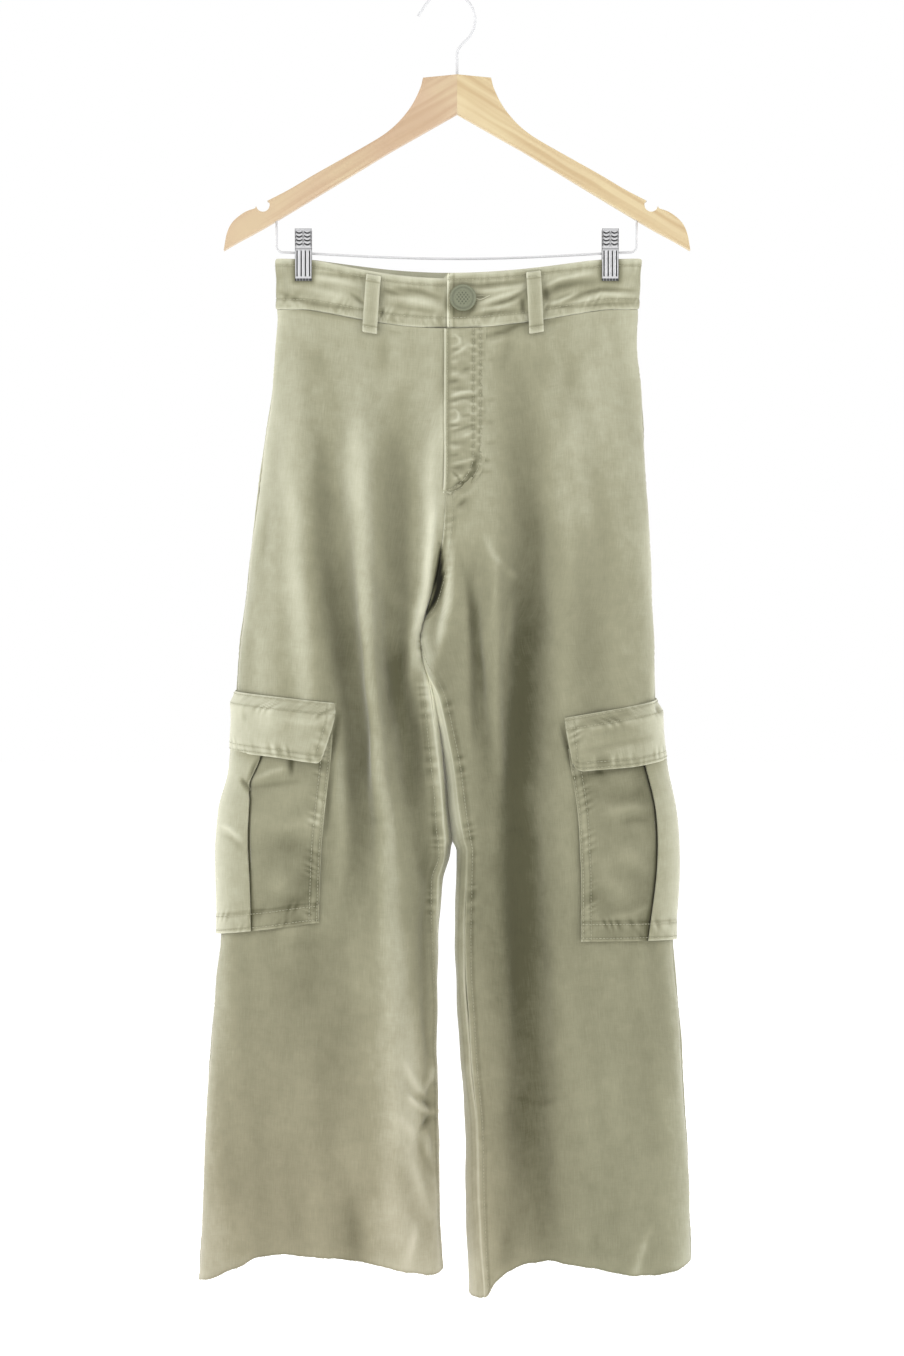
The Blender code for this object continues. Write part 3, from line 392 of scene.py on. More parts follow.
def leg_point(leg, angle, drop):
    """The outside of the cloth before sag and hem: x, y and drop, for any angle and height."""
    angle, drop = np.broadcast_arrays(np.asarray(angle, float), np.asarray(drop, float))
    outer, inner = body(f"{leg}_outer", drop), body(f"{leg}_inner", drop)
    middle, half = (outer + inner) / 2, (outer - inner) / 2
    x = middle + half * np.cos(angle)
    from_side, from_inner = np.abs(outer - x), np.abs(x - inner)
    opened = rise_opened(drop)
    joined = 1 - opened**2
    edge = np.clip(1 - from_inner / (INNER_ROUND * np.abs(half)), 0, 1)
    shape = rounding(from_side, body("side_round", drop)) * np.sqrt(1 - joined * edge**2)
    front = np.sin(angle) > 0
    free = rises(drop, CLIP_END, FULL_DEPTH_AT - CLIP_END)
    at_waist = np.where(front, waist_depth("front", x), waist_depth("back", x))
    depth = (1 - free) * at_waist + free * np.where(front, body("front", drop), body("back", drop))
    soft = smoothstep(from_side / FOLD_MARGIN) * (1 - joined * (1 - smoothstep(from_inner / FOLD_MARGIN)))
    folds = np.where(front, fold_height("front", x, drop), fold_height("back", x, drop))
    y = depth * shape + folds * soft
    return np.stack([x, np.where(front, -y, y), drop], axis=-1)


def sag(x, at_centre):
    """How far the waist hangs below the line between the clips."""
    span = np.where(x < CENTRE_X, CENTRE_X - CLIP_X[0], CLIP_X[1] - CENTRE_X)
    return at_centre * np.clip(1 - ((x - CENTRE_X) / span) ** 2, 0, 1) ** 1.4


def hem_shift(leg, angle):
    turned = np.degrees((angle + math.pi) % (2 * math.pi) - math.pi)
    columns = ("angle", "right", "left")
    return column(HEM_EDGE, columns, leg, turned) - HEM


def surface(leg, angle, drop):
    """A place on the outside of the cloth, in the part's own axes."""
    place = leg_point(leg, angle, drop)
    x, y, down = place[..., 0], place[..., 1], place[..., 2]
    hangs = sag(x, SEAM_SAG) * (1 - rises(down, WAIST_SEAM, SAG_FADES_AT - WAIST_SEAM))
    fades = rises(down, HEM_FADES_FROM, HEM - HEM_FADES_FROM)
    down = down + hangs + hem_shift(leg, np.broadcast_to(angle, down.shape)) * fades
    return np.stack([x, y, -down], axis=-1)


def outward(leg, angle, drop):
    """The cloth's outward direction there. Heights are read on one side of the crotch only."""
    step, turn = 0.0005, 0.004
    angle, drop = np.broadcast_arrays(np.asarray(angle, float), np.asarray(drop, float))
    below = np.where(drop < CROTCH, np.minimum(drop + step, CROTCH), drop + step)
    above = np.where(drop < CROTCH, drop - step, np.maximum(drop - step, CROTCH))
    side = np.sin(angle) > 0
    ahead, behind = angle + turn, angle - turn
    ahead = np.where((drop < CROTCH) & side, np.minimum(ahead, math.pi), ahead)
    behind = np.where((drop < CROTCH) & ~side, np.maximum(behind, -math.pi), behind)
    along = surface(leg, ahead, drop) - surface(leg, behind, drop)
    down = surface(leg, angle, below) - surface(leg, angle, above)
    normal = unit(np.cross(along, down))
    return -normal if leg == "right" else normal


def unit(vectors):
    return vectors / np.maximum(np.linalg.norm(vectors, axis=-1, keepdims=True), 1e-12)


def turned_by(leg, angle, drop, length):
    """The angle that lies that far round from an edge, for a small length either way."""
    tries = np.sign(length) * np.geomspace(0.0002, 0.4, 120)
    start = surface(leg, angle, drop)[:, None]
    reach = np.linalg.norm(surface(leg, angle[:, None] + tries, drop[:, None]) - start, axis=-1)
    reach = np.maximum.accumulate(reach, axis=1)
    return np.array([one + np.interp(abs(length), row, tries) for one, row in zip(angle, reach)])


def angle_at_x(leg, face, x, drop):
    """The angle of a place on the front or back, by its x."""
    outer, inner = body(f"{leg}_outer", drop), body(f"{leg}_inner", drop)
    angle = np.arccos(np.clip((np.asarray(x) - (outer + inner) / 2) / ((outer - inner) / 2), -1, 1))
    return angle if face == "front" else -angle


def angle_at_arc(leg, arc, drop):
    """The angles of places given as lengths of cloth from the silhouette towards the front."""
    levels = np.linspace(drop.min(), drop.max(), 60)
    arcs = np.linspace(arc.min(), arc.max(), 200)
    tries = np.linspace(-2.6, 2.6, 321)
    line = surface(leg, tries[None, :], levels[:, None])
    steps = np.linalg.norm(np.diff(line, axis=1), axis=2)
    along = np.concatenate([np.zeros((len(line), 1)), np.cumsum(steps, axis=1)], axis=1)
    along -= along[:, 160:161]
    table = np.array([np.interp(arcs, row, tries) for row in along])
    row = (drop - levels[0]) / (levels[-1] - levels[0]) * (len(levels) - 1)
    col = (arc - arcs[0]) / (arcs[-1] - arcs[0]) * (len(arcs) - 1)
    return between(table[..., None], row, col)[..., 0]


def between(grid, row, col):
    """Values of a grid at fractional rows and columns."""
    row, col = np.clip(row, 0, grid.shape[0] - 1), np.clip(col, 0, grid.shape[1] - 1)
    i = np.minimum(row.astype(int), grid.shape[0] - 2)
    j = np.minimum(col.astype(int), grid.shape[1] - 2)
    u, v = (row - i)[..., None], (col - j)[..., None]
    top = grid[i, j] * (1 - v) + grid[i, j + 1] * v
    low = grid[i + 1, j] * (1 - v) + grid[i + 1, j + 1] * v
    return top * (1 - u) + low * u


def spaced(line, count, curl):
    """Even shares of a line's length, closer where it turns, as positions in its list of points."""
    steps = np.diff(line, axis=0)
    lengths = np.linalg.norm(steps, axis=1)
    ways = steps / np.maximum(lengths[:, None], 1e-12)
    turns = np.arccos(np.clip(np.sum(ways[1:] * ways[:-1], axis=1), -1, 1))
    cost = lengths + curl * (np.append(turns, 0) + np.insert(turns, 0, 0)) / 2
    along = np.concatenate([[0], np.cumsum(cost)])
    return np.interp(np.linspace(0, along[-1], count), along, np.arange(len(along)))


def band_place(leg, angle, share):
    """A place on the waistband and its outward direction: share is 0 at the top and 1 at the seam."""
    angle, share = np.broadcast_arrays(np.asarray(angle, float), np.asarray(share, float))
    bottom = WAIST_SEAM - GAP / 2
    drop = BAND_TOP + (bottom - BAND_TOP) * share
    place = leg_point(leg, angle, drop)
    normal = outward(leg, angle, drop)
    normal[..., 2] = 0
    x, y, down = place[..., 0], place[..., 1], place[..., 2]
    high = sag(x, np.where(np.sin(angle) > 0, TOP_SAG[leg], TOP_SAG["back"]))
    hangs = high + (sag(x, SEAM_SAG) - high) * share
    return np.stack([x, y, -(down + hangs)], axis=-1), unit(normal)


def bar_drop(x):
    """Drop of the bar's middle, bowed by the weight it carries."""
    share = (x - BAR_X[0]) / (BAR_X[1] - BAR_X[0])
    return BAR_DROP + BAR_SAG * math.sin(math.pi * share) ** 1.2


# Small creases of each piece, in millimetres: a path of x and drop, a half width and a height
CREASES = {
    "front": [
        ([(-5, 388), (-5, 464), (-7, 530)], 4, 0.9), ([(2, 525), (-1, 575), (-8, 620)], 4, 1.4),
        ([(18, 540), (24, 580), (29, 626), (32, 665)], 5, -0.9),
        ([(35, 517), (42, 536), (53, 548)], 3, 1.3), ([(57, 550), (69, 558)], 4, 1.6),
        ([(46, 548), (40, 617)], 3, 0.8), ([(64, 579), (56, 626)], 4, 0.9),
        ([(-30, 600), (-50, 575), (-62, 540)], 7, 0.8), ([(-30, 612), (-48, 640), (-56, 700)], 8, -1.2),
        ([(-13, 1018), (-16, 1034), (-23, 1046)], 3.0, 2.2),
        ([(-30, 1046), (-22, 1055), (-12, 1061)], 2.8, -2.4),
        ([(-42, 1048), (-24, 1063), (-12, 1067)], 3.2, 2.4),
        ([(-28, 1082), (-20, 1075), (-12, 1070)], 3.2, -2.4),
        ([(-20, 1084), (-19, 1098), (-20, 1113)], 4.0, 1.8),
        ([(-50, 1066), (-36, 1084), (-30, 1100)], 5.0, 1.0),
        # Painted shadows on the panel beside the front edges of the flaps, as deep creases
        ([(-103, 686), (-106, 706), (-111, 730)], 3.0, -4.0),
        ([(-109, 733), (-113, 760), (-115, 800)], 2.6, -1.6),
        ([(108, 696), (113, 716), (119, 740)], 2.6, -2.8),
        ([(127, 744), (127, 800), (129, 900)], 2.4, -1.0), ([(196, 640), (196, 672)], 2.4, 1.6),
        ([(-82, 781), (-70, 787), (-57, 789)], 3, -0.5), ([(57, 799), (75, 797)], 3, -0.6),
        ([(67, 1054), (88, 1056), (109, 1049)], 3, -0.6),
        ([(-94, 1140), (-88, 1175), (-86, 1206)], 9, -2.0), ([(-32, 1168), (-41, 1212)], 4, 1.6),
        ([(193, 1170), (174, 1222)], 4, 1.6), ([(60, 1160), (52, 1215)], 7, -1.2),
        ([(-150, 330), (-120, 352), (-104, 400)], 9, -0.9),
        ([(140, 330), (118, 360), (110, 410)], 9, -0.9), ([(60, 318), (52, 360)], 5, -1.2),
        ([(-60, 322), (-62, 360)], 6, -1.0), ([(-47, 1012), (-34, 1036), (-19, 1062)], 5.0, 1.7),
        ([(-42, 1032), (-30, 1054), (-20, 1074)], 4.0, -1.3),
        ([(-41, 1096), (-30, 1128), (-19, 1164)], 5.0, 1.5),
        ([(-32, 1088), (-22, 1108), (-14, 1126)], 3.5, -1.3),
        ([(-52, 1096), (-42, 1138), (-29, 1178)], 8.0, -1.0),
        ([(26, 454), (33, 446), (41, 448)], 1.6, -2.0), ([(9, 491), (13, 487), (18, 483)], 1.6, -1.7),
        ([(5, 484), (11, 480)], 1.5, -0.9), ([(38, 350), (45, 350)], 2.0, -0.9),
        ([(38, 389), (45, 388)], 2.0, -0.9), ([(37, 410), (43, 410)], 2.4, -1.0),
        ([(36, 430), (46, 430)], 2.0, -1.0), ([(30, 457), (42, 458)], 2.2, -1.1),
        ([(8, 482), (20, 478), (27, 470)], 2.4, 1.2), ([(10, 490), (18, 486)], 2.2, -1.1),
        ([(-58, 322), (-44, 325)], 2.2, -1.0), ([(88, 315), (110, 311)], 2.6, -1.6),
        ([(34, 328), (56, 322), (76, 314)], 2.6, -3.0), ([(40, 334), (62, 329)], 2.6, 0.9),
    ],
    "back": [
        ([(-14, 560), (-50, 578), (-96, 572)], 13, -1.0), ([(-10, 585), (-44, 604), (-80, 610)], 11, 0.8),
        ([(16, 556), (60, 580), (104, 566)], 13, -1.0), ([(12, 588), (48, 610), (84, 606)], 10, 0.7),
        ([(-6, 520), (-30, 545), (-70, 540)], 11, -0.8), ([(8, 505), (40, 532), (70, 525)], 11, -0.8),
        ([(-140, 860), (-100, 872), (-60, 868)], 10, -0.6), ([(52, 842), (98, 858), (150, 848)], 10, -0.6),
        ([(-150, 1080), (-116, 1068), (-88, 1080)], 11, -0.7),
        ([(70, 1040), (110, 1052), (140, 1040)], 11, 0.7), ([(-60, 1150), (-50, 1200)], 9, 1.0),
        ([(160, 1140), (150, 1195)], 10, -1.0), ([(-120, 318), (-104, 370)], 7, -1.1),
        ([(118, 318), (100, 372)], 7, -1.1),
    ],
    "back_band": [
        ([(-120, 270), (-96, 282), (-84, 290)], 4, -1.0), ([(-64, 274), (-30, 281), (0, 278)], 4, 0.8),
        ([(22, 284), (56, 276), (88, 282)], 4, -0.9), ([(110, 276), (140, 284)], 5, 1.0),
    ],
    "pocket_right": [
        ([(-148, 722), (-148, 744)], 2.6, -2.6), ([(-190, 752), (-168, 742), (-152, 738)], 3.4, 1.2),
        ([(-192, 758), (-168, 754), (-140, 750)], 2.6, -0.9),
        ([(-180, 728), (-186, 738), (-192, 752)], 1.8, -2.2),
        ([(-200, 748), (-193, 755), (-189, 760)], 2.2, -3.0),
        ([(-218, 792), (-208, 796), (-197, 806)], 2.6, 1.5),
        ([(-220, 800), (-206, 806), (-198, 814)], 3.0, -0.7),
        ([(-184, 788), (-150, 792), (-122, 786)], 7, 0.6),
        ([(-184, 812), (-150, 808), (-122, 814)], 8, -0.6),
        ([(-120, 846), (-136, 862), (-160, 868)], 5, -0.6),
        ([(-176, 846), (-150, 854), (-126, 848)], 9, 0.6),
    ],
    "pocket_left": [
        ([(140, 736), (146, 744)], 3.0, -1.2), ([(160, 792), (176, 786), (192, 790)], 4, -0.8),
        ([(150, 780), (172, 774), (190, 776)], 4, 0.8), ([(150, 880), (176, 876), (192, 868)], 3, 0.8),
        ([(133, 760), (160, 768), (190, 760)], 8, -0.8), ([(140, 830), (166, 822), (192, 834)], 9, 0.8),
    ],
    "band": [
        ([(-160, 285), (-141, 293), (-122, 297), (-82, 303)], 1.9, -1.2),
        ([(-129, 266), (-103, 269), (-74, 273)], 1.8, -0.9),
        ([(-128, 271), (-102, 275), (-80, 280)], 3.2, 1.0),
        ([(-150, 278), (-120, 284), (-96, 290)], 3.4, 0.6), ([(-92, 287), (-79, 297)], 1.8, -1.2),
        ([(-63, 283), (-46, 288)], 2.0, -1.1), ([(-51, 282), (-27, 285), (-6, 292)], 2.2, -1.2),
        ([(-58, 290), (-31, 293), (-7, 299)], 3.4, 1.1), ([(-64, 300), (-63, 310)], 2.6, -1.3),
        ([(-58, 297), (-30, 302), (-7, 305)], 2.4, -0.7), ([(-20, 306), (-17, 314)], 1.2, 0.5),
        ([(-13, 307), (-11, 315)], 1.2, 0.5), ([(3, 279), (30, 280), (73, 275)], 2.0, -1.3),
        ([(24, 285), (45, 284), (73, 279)], 2.0, 0.9), ([(38, 299), (59, 293), (74, 284)], 1.8, -1.2),
        ([(28, 297), (50, 290), (71, 283)], 2.4, 1.2), ([(22, 308), (50, 305), (73, 302)], 1.8, -1.1),
        ([(30, 303), (54, 299), (69, 293)], 2.2, 1.0), ([(71, 291), (73, 306)], 2.6, -1.5),
        ([(91, 280), (94, 294)], 3.8, -1.7), ([(90, 281), (106, 273), (127, 268), (140, 266)], 2.2, 1.1),
        ([(92, 287), (106, 280), (124, 276), (145, 274)], 3.2, -1.4),
        ([(94, 297), (112, 291), (123, 287)], 2.0, 1.1), ([(99, 294), (117, 287)], 1.8, -0.9),
        ([(110, 295), (130, 286), (146, 282), (179, 283)], 1.9, -1.2),
        ([(118, 296), (136, 291), (147, 286), (180, 289)], 2.6, 1.0),
        ([(92, 299), (123, 299), (147, 296), (181, 295)], 1.5, -1.0),
    ],
    "fly": [
        ([(2, 329), (7, 327), (11, 330), (11, 335), (7, 337), (2, 338)], 1.4, 0.9),
        ([(3, 341), (11, 340)], 1.5, -0.9), ([(2, 347), (12, 342), (20, 335)], 1.7, 1.0),
        ([(2, 353), (10, 352)], 1.7, 0.7), ([(2, 359), (9, 358)], 1.5, -0.7),
        ([(2, 365), (11, 363)], 1.7, 0.7), ([(2, 371), (10, 370)], 1.6, -0.9),
        ([(2, 379), (12, 377)], 1.8, -0.6), ([(1, 387), (12, 382), (24, 381), (28, 380)], 1.7, 1.3),
        ([(2, 390), (14, 387), (27, 386)], 1.4, -1.2), ([(2, 394), (10, 393)], 1.6, 0.6),
        ([(2, 400), (7, 399), (10, 402), (10, 408), (7, 410), (2, 411)], 1.4, 0.9),
        ([(2, 414), (11, 413)], 1.4, -0.9), ([(2, 417), (11, 415)], 1.5, 0.7),
        ([(2, 420), (13, 417), (26, 412)], 1.4, -1.0), ([(2, 430), (10, 430)], 1.6, -0.7),
        ([(3, 436), (13, 434)], 2.0, 0.6), ([(4, 451), (15, 448), (24, 446)], 1.8, 1.1),
        ([(3, 454), (15, 453)], 1.5, -0.8),
        ([(29, 438), (26, 449), (23, 460), (19, 468), (11, 473), (1, 477)], 2.4, -2.0),
        ([(5, 465), (15, 461)], 1.6, 1.0), ([(7, 470), (18, 465)], 1.3, -1.0),
        ([(4, 458), (9, 462), (12, 468)], 1.1, -1.4), ([(8, 472), (13, 470)], 1.2, 1.6),
        ([(2, 443), (11, 441)], 1.4, -0.9), ([(14, 424), (24, 421)], 1.4, 0.8),
        ([(13, 405), (22, 403)], 1.3, -0.8), ([(14, 360), (22, 358)], 1.4, -0.8),
    ],
    "flap_right": [
        ([(-200, 700), (-160, 704), (-118, 700)], 7, -0.4), ([(-196, 684), (-196, 694)], 2.4, -1.0),
        ([(-160, 690), (-130, 696), (-104, 690)], 3, 0.6), ([(-122, 694), (-112, 712)], 3, -0.6),
    ],
    "flap_left": [
        ([(124, 706), (160, 700), (200, 700)], 7, -0.5), ([(128, 694), (150, 692), (176, 686)], 3, -1.2),
        ([(130, 701), (154, 698), (178, 692)], 3, 0.8), ([(128, 722), (156, 716), (200, 708)], 3, -0.7),
        ([(196, 668), (197, 690)], 2.4, 1.2), ([(202, 672), (202, 690)], 3.4, -1.4),
    ],
}
# Painted shade of the creases: tone per metre of height, paler on the ridges and darker in the valleys
PAINTED_SHADE_OF_CREASE = {
    "front": 220, "back": 200, "fly": 520, "band": 480, "back_band": 380,
    "pocket_right": 330, "pocket_left": 330, "flap_right": 300, "flap_left": 300,
}

# Long drapes that deepen the folds of the form. Height is in millimetres, and tone is the painted
# light and shade that pales or darkens them. The stations run down each drape.
DRAPES = [
    # face, height, tone, stations of x, drop and half width in millimetres, and strength
    ("front", 2.4, 0.62, [
        (-160, 350, 10, 0), (-156, 430, 10, 0.3), (-148, 500, 10, 0.7), (-142, 570, 11, 1.0),
        (-137, 626, 12, 1.1), (-133, 690, 12, 0.9), (-130, 740, 10, 0),
    ]),
    ("front", -1.5, -0.16, [(-176, 450, 6, 0), (-175, 510, 6, 1), (-174, 590, 6, 1), (-173, 660, 6, 0)]),
    ("front", 0.0, 0.48, [
        (-164, 440, 12, 0), (-166, 520, 12, 0.2), (-168, 580, 16, 0.7), (-174, 630, 18, 1),
        (-176, 660, 18, 1), (-164, 720, 20, 0.2), (-164, 740, 20, 0),
    ]),
    ("front", 0.0, 0.45, [
        (-104, 690, 5, 0), (-101, 735, 7, 1), (-100, 800, 8, 1), (-104, 850, 8, 0.4), (-106, 900, 8, 0),
    ]),
    ("front", 0.0, 0.3, [(-205, 1130, 16, 0), (-208, 1200, 20, 1), (-208, 1250, 20, 1)]),
    ("front", 0.0, 1.3, [
        (-20, 595, 2, 0), (-22.5, 608, 2.5, 1), (-23, 618, 2.5, 1), (-22, 632, 2.5, 1), (-18, 654, 2.5, 1),
        (-12, 674, 2.5, 1), (-7, 695, 2.5, 0.4),
    ]),
    ("front", 0.0, 0.5, [
        (-24, 572, 5, 0), (-26, 588, 6, 1), (-26, 612, 7, 1), (-23, 638, 7, 1), (-18, 662, 6, 0.5),
        (-12, 690, 5, 0),
    ]),
    ("front", 0.0, 0.22, [(20, 880, 8, 0), (21, 940, 10, 1), (22, 1060, 10, 0.8), (22, 1130, 10, 0)]),
    ("front", 0.0, -0.16, [(84, 980, 14, 0), (88, 1040, 16, 1), (92, 1090, 16, 1), (94, 1130, 14, 0)]),
    ("front", 0.0, -0.22, [(-50, 600, 12, 0), (-48, 640, 14, 1), (-46, 680, 14, 0.6), (-44, 720, 12, 0)]),
    ("front", 0.0, 0.26, [
        (-88, 860, 14, 0), (-86, 910, 20, 1), (-78, 1000, 20, 1), (-76, 1060, 18, 0.4), (-74, 1100, 16, 0),
    ]),
    ("front", 0.0, 0.2, [(-180, 590, 16, 0), (-170, 650, 20, 1), (-165, 690, 18, 0.7), (-160, 730, 18, 0)]),
    ("front", 0.0, -0.28, [
        (-130, 880, 14, 0), (-132, 905, 18, 1), (-134, 950, 20, 0.8), (-132, 1010, 20, 0),
    ]),
    ("front", 0.0, 0.2, [(-38, 950, 12, 0), (-36, 1000, 14, 1), (-34, 1080, 14, 1), (-34, 1130, 12, 0)]),
    ("front", 0.0, 0.18, [(-40, 480, 9, 0), (-38, 530, 9, 1), (-37, 565, 9, 1), (-40, 610, 9, 0)]),
    ("front", 0.0, 0.28, [
        (170, 560, 20, 0), (170, 620, 22, 0.8), (168, 680, 22, 1), (160, 730, 18, 1), (150, 790, 16, 0),
    ]),
    ("front", 0.0, -0.36, [(16, 420, 9, 0), (16, 450, 10, 1), (16, 480, 10, 0.8), (18, 510, 10, 0)]),
    ("front", 0.0, -0.2, [(-132, 330, 12, 0), (-134, 370, 12, 1), (-132, 420, 12, 0)]),
    ("front", -6.0, -0.46, [
        (-122, 350, 14, 0), (-118, 440, 14, 0.45), (-108, 540, 16, 0.8), (-96, 626, 14, 1),
        (-84, 722, 10, 0.9), (-83, 800, 10, 0.7), (-90, 870, 14, 0.3), (-98, 960, 20, 0.25),
        (-103, 1080, 26, 0.2), (-95, 1150, 14, 0.3), (-93, 1210, 12, 0.5),
    ]),
    ("front", 4.5, 0.5, [
        (-84, 340, 12, 0), (-86, 430, 12, 0.6), (-81, 540, 8, 1), (-76, 626, 6, 1), (-68, 722, 6, 1.1),
        (-57, 800, 8, 1.1), (-53, 880, 14, 1.2), (-48, 960, 17, 1.3), (-43, 1060, 18, 1.3),
        (-43, 1130, 19, 1.1), (-43, 1190, 24, 0.9), (-42, 1240, 26, 0.8),
    ]),
    ("front", -6.0, -0.54, [
        (-52, 350, 14, 0), (-49, 430, 14, 0.5), (-48, 540, 14, 0.8), (-46, 626, 14, 1),
        (-36, 722, 13, 1.05), (-26, 800, 11, 0.9), (-16, 850, 9, 0.8), (-20, 950, 7, 0.6),
        (-16, 1060, 6, 0.5), (-14, 1140, 6, 0),
    ]),
    ("front", 3.0, 0.48, [
        (-12, 370, 8, 0), (-14, 430, 8, 0.6), (-20, 540, 8, 1.05), (-20, 626, 7, 1.1), (-14, 690, 7, 1.1),
        (-9, 745, 6, 1.1), (-7, 800, 5, 0.9), (-8, 870, 4, 0.5), (-8, 920, 4, 0),
    ]),
    ("front", -2.5, -0.5, [
        (-7, 512, 2, 0), (-7, 532, 3, 0.6), (-9, 552, 6, 1), (-12, 572, 6, 1), (-17, 588, 4, 0.8),
        (-20, 600, 2, 0),
    ]),
    ("front", 0.8, 0.6, [
        (-12, 470, 4, 0), (-14, 500, 4, 0.8), (-19, 545, 4, 1), (-26, 588, 4, 1), (-33, 618, 5, 1),
        (-35, 650, 5, 0.9), (-30, 700, 5, 0),
    ]),
    ("front", 0.0, 0.8, [
        (-24, 600, 5, 0), (-22, 630, 8, 1), (-15, 670, 9, 1), (-6, 720, 8, 0.4), (0, 760, 6, 0),
    ]),
    ("front", 2.2, 0.66, [
        (2, 500, 4, 0), (2, 535, 4, 0.9), (0, 578, 4.5, 1.1), (-6, 612, 4, 0.9), (-10, 640, 3, 0),
    ]),
    ("front", -2.2, -0.52, [
        (10, 530, 4, 0), (16, 553, 5, 0.4), (24, 590, 5, 0.8), (27, 626, 5, 1), (30, 665, 6, 0.9),
        (33, 722, 9, 0.5), (34, 790, 10, 0.4), (30, 900, 12, 0),
    ]),
    ("front", 2.0, 0.2, [
        (44, 500, 5, 0), (46, 540, 5, 0.7), (47, 590, 5, 0.6), (46, 650, 6, 0.8), (50, 725, 6, 0.8),
        (50, 790, 6, 0),
    ]),
    ("front", -9.0, -0.88, [
        (58, 350, 16, 0), (65, 430, 18, 0.35), (76, 520, 18, 0.65), (76, 580, 17, 0.8),
        (73, 650, 16, 0.95), (67, 722, 18, 1.05), (68, 836, 20, 0.95), (71, 960, 20, 0.9),
        (75, 1075, 24, 0.7), (86, 1170, 28, 0.3), (88, 1230, 30, 0.1),
    ]),
    ("front", 0.0, -0.26, [(74, 310, 22, 0.3), (76, 350, 26, 1), (76, 440, 26, 0.9), (76, 520, 24, 0)]),
    ("front", 0.0, -0.22, [(42, 780, 9, 0), (42, 840, 11, 0.9), (44, 960, 12, 1), (46, 1060, 12, 0)]),
    ("front", 0.0, 0.3, [(24, 1040, 10, 0), (26, 1140, 12, 0.8), (30, 1240, 16, 1)]),
    ("front", 1.5, 0.14, [
        (112, 520, 13, 0), (110, 626, 14, 0.6), (118, 769, 14, 0.7), (122, 880, 14, 0.3),
        (122, 960, 14, 0),
    ]),
    ("front", -2.0, -0.2, [
        (146, 400, 14, 0), (142, 450, 14, 0.6), (142, 540, 16, 1), (138, 600, 14, 0.4), (136, 640, 14, 0),
    ]),
    ("back", -7.0, -0.5, [
        (-112, 330, 15, 0), (-106, 460, 17, 0.5), (-96, 640, 18, 1), (-102, 800, 18, 0.9),
        (-108, 1000, 24, 0.8), (-112, 1230, 28, 0.4),
    ]),
    ("back", 3.5, 0.3, [
        (-62, 350, 9, 0), (-58, 480, 8, 0.8), (-56, 660, 8, 1), (-60, 820, 9, 0.8), (-62, 980, 10, 0),
    ]),
    ("back", -3.5, -0.32, [(-34, 580, 10, 0), (-36, 680, 11, 1), (-34, 840, 11, 0.8), (-38, 1040, 12, 0)]),
    ("back", -6.0, -0.48, [
        (62, 330, 14, 0), (62, 460, 15, 0.6), (66, 640, 16, 1), (72, 800, 17, 0.9), (80, 1000, 24, 0.5),
        (84, 1200, 26, 0.2),
    ]),
    ("back", 3.5, 0.3, [
        (101, 350, 10, 0), (96, 500, 9, 0.8), (94, 680, 8, 1), (98, 860, 9, 0.9), (103, 1060, 12, 0.7),
        (104, 1230, 16, 0.3),
    ]),
    ("back", -3.0, -0.26, [(140, 330, 14, 0), (147, 440, 15, 0.7), (150, 560, 16, 1), (150, 660, 14, 0)]),
    ("back", -3.0, -0.28, [(34, 600, 12, 0), (38, 740, 12, 1), (36, 900, 12, 0.8), (44, 1100, 12, 0)]),
]
MM = 0.001


def rises(value, start, over):
    """0 up to start, rising softly to 1 over that length."""
    return smoothstep((value - start) / over)


def falls(value, end, over):
    """1 at first, falling softly over that length to 0 at end."""
    return smoothstep((end - value) / over)


def bell(value, width, power=2):
    """1 at zero, fading both ways over about that width, and more squarely with a higher power."""
    return np.exp(-((value / width) ** power))


def reach_of(path, x, drop):
    """Distance of each place from a path, how far along the path it lies, and where the stations are."""
    path = np.array(path, float) * MM
    lengths = np.linalg.norm(np.diff(path, axis=0), axis=1)
    starts = np.concatenate([[0], np.cumsum(lengths)])
    nearest, along = np.full(x.shape, 1e9), np.zeros(x.shape)
    for (ax, az), (bx, bz), length, start in zip(path, path[1:], lengths, starts):
        t = np.clip(((x - ax) * (bx - ax) + (drop - az) * (bz - az)) / length**2, 0, 1)
        away = np.hypot(x - ax - t * (bx - ax), drop - az - t * (bz - az))
        closer = away < nearest
        nearest = np.where(closer, away, nearest)
        along = np.where(closer, start + t * length, along)
    return nearest, along, starts


# Painted shadow in the hollow between the legs, just below the crotch
HOLLOW_EDGE = 0.0026
HOLLOW_SHADOW_TONE = -2.3
HOLLOW = [
    # x, drop and half width in millimetres
    (-6.9, 524.0, 0.2),
    (-6.9, 538.0, 1.2),
    (-7.7, 547.0, 2.4),
    (-8.6, 558.0, 3.7),
    (-10.0, 567.5, 3.7),
    (-12.4, 577.0, 2.7),
    (-16.3, 586.0, 1.6),
    (-19.0, 593.0, 0.4),
]


def hollow_share(x, drop):
    """1 inside the hollow between the legs and 0 outside it, with a soft edge."""
    middles, drops, half_widths = np.array(HOLLOW).T * MM
    half_width = np.interp(drop, drops, half_widths, 0, 0)
    inside = half_width - np.abs(x - np.interp(drop, drops, middles))
    return smoothstep(inside / HOLLOW_EDGE + 0.5) * (half_width > 0)


def crease_height(piece, x, drop):
    """All the small creases of a piece, at a place. Each is deepest in the middle of its path."""
    total = np.zeros(x.shape)
    for path, half_width, height in CREASES[piece]:
        nearest, along, starts = reach_of(path, x, drop)
        fade = 0.25 + 0.75 * np.sin(math.pi * np.clip(along / starts[-1], 0, 1)) ** 0.8
        total += height * MM * fade * bell(nearest, half_width * MM)
    return total


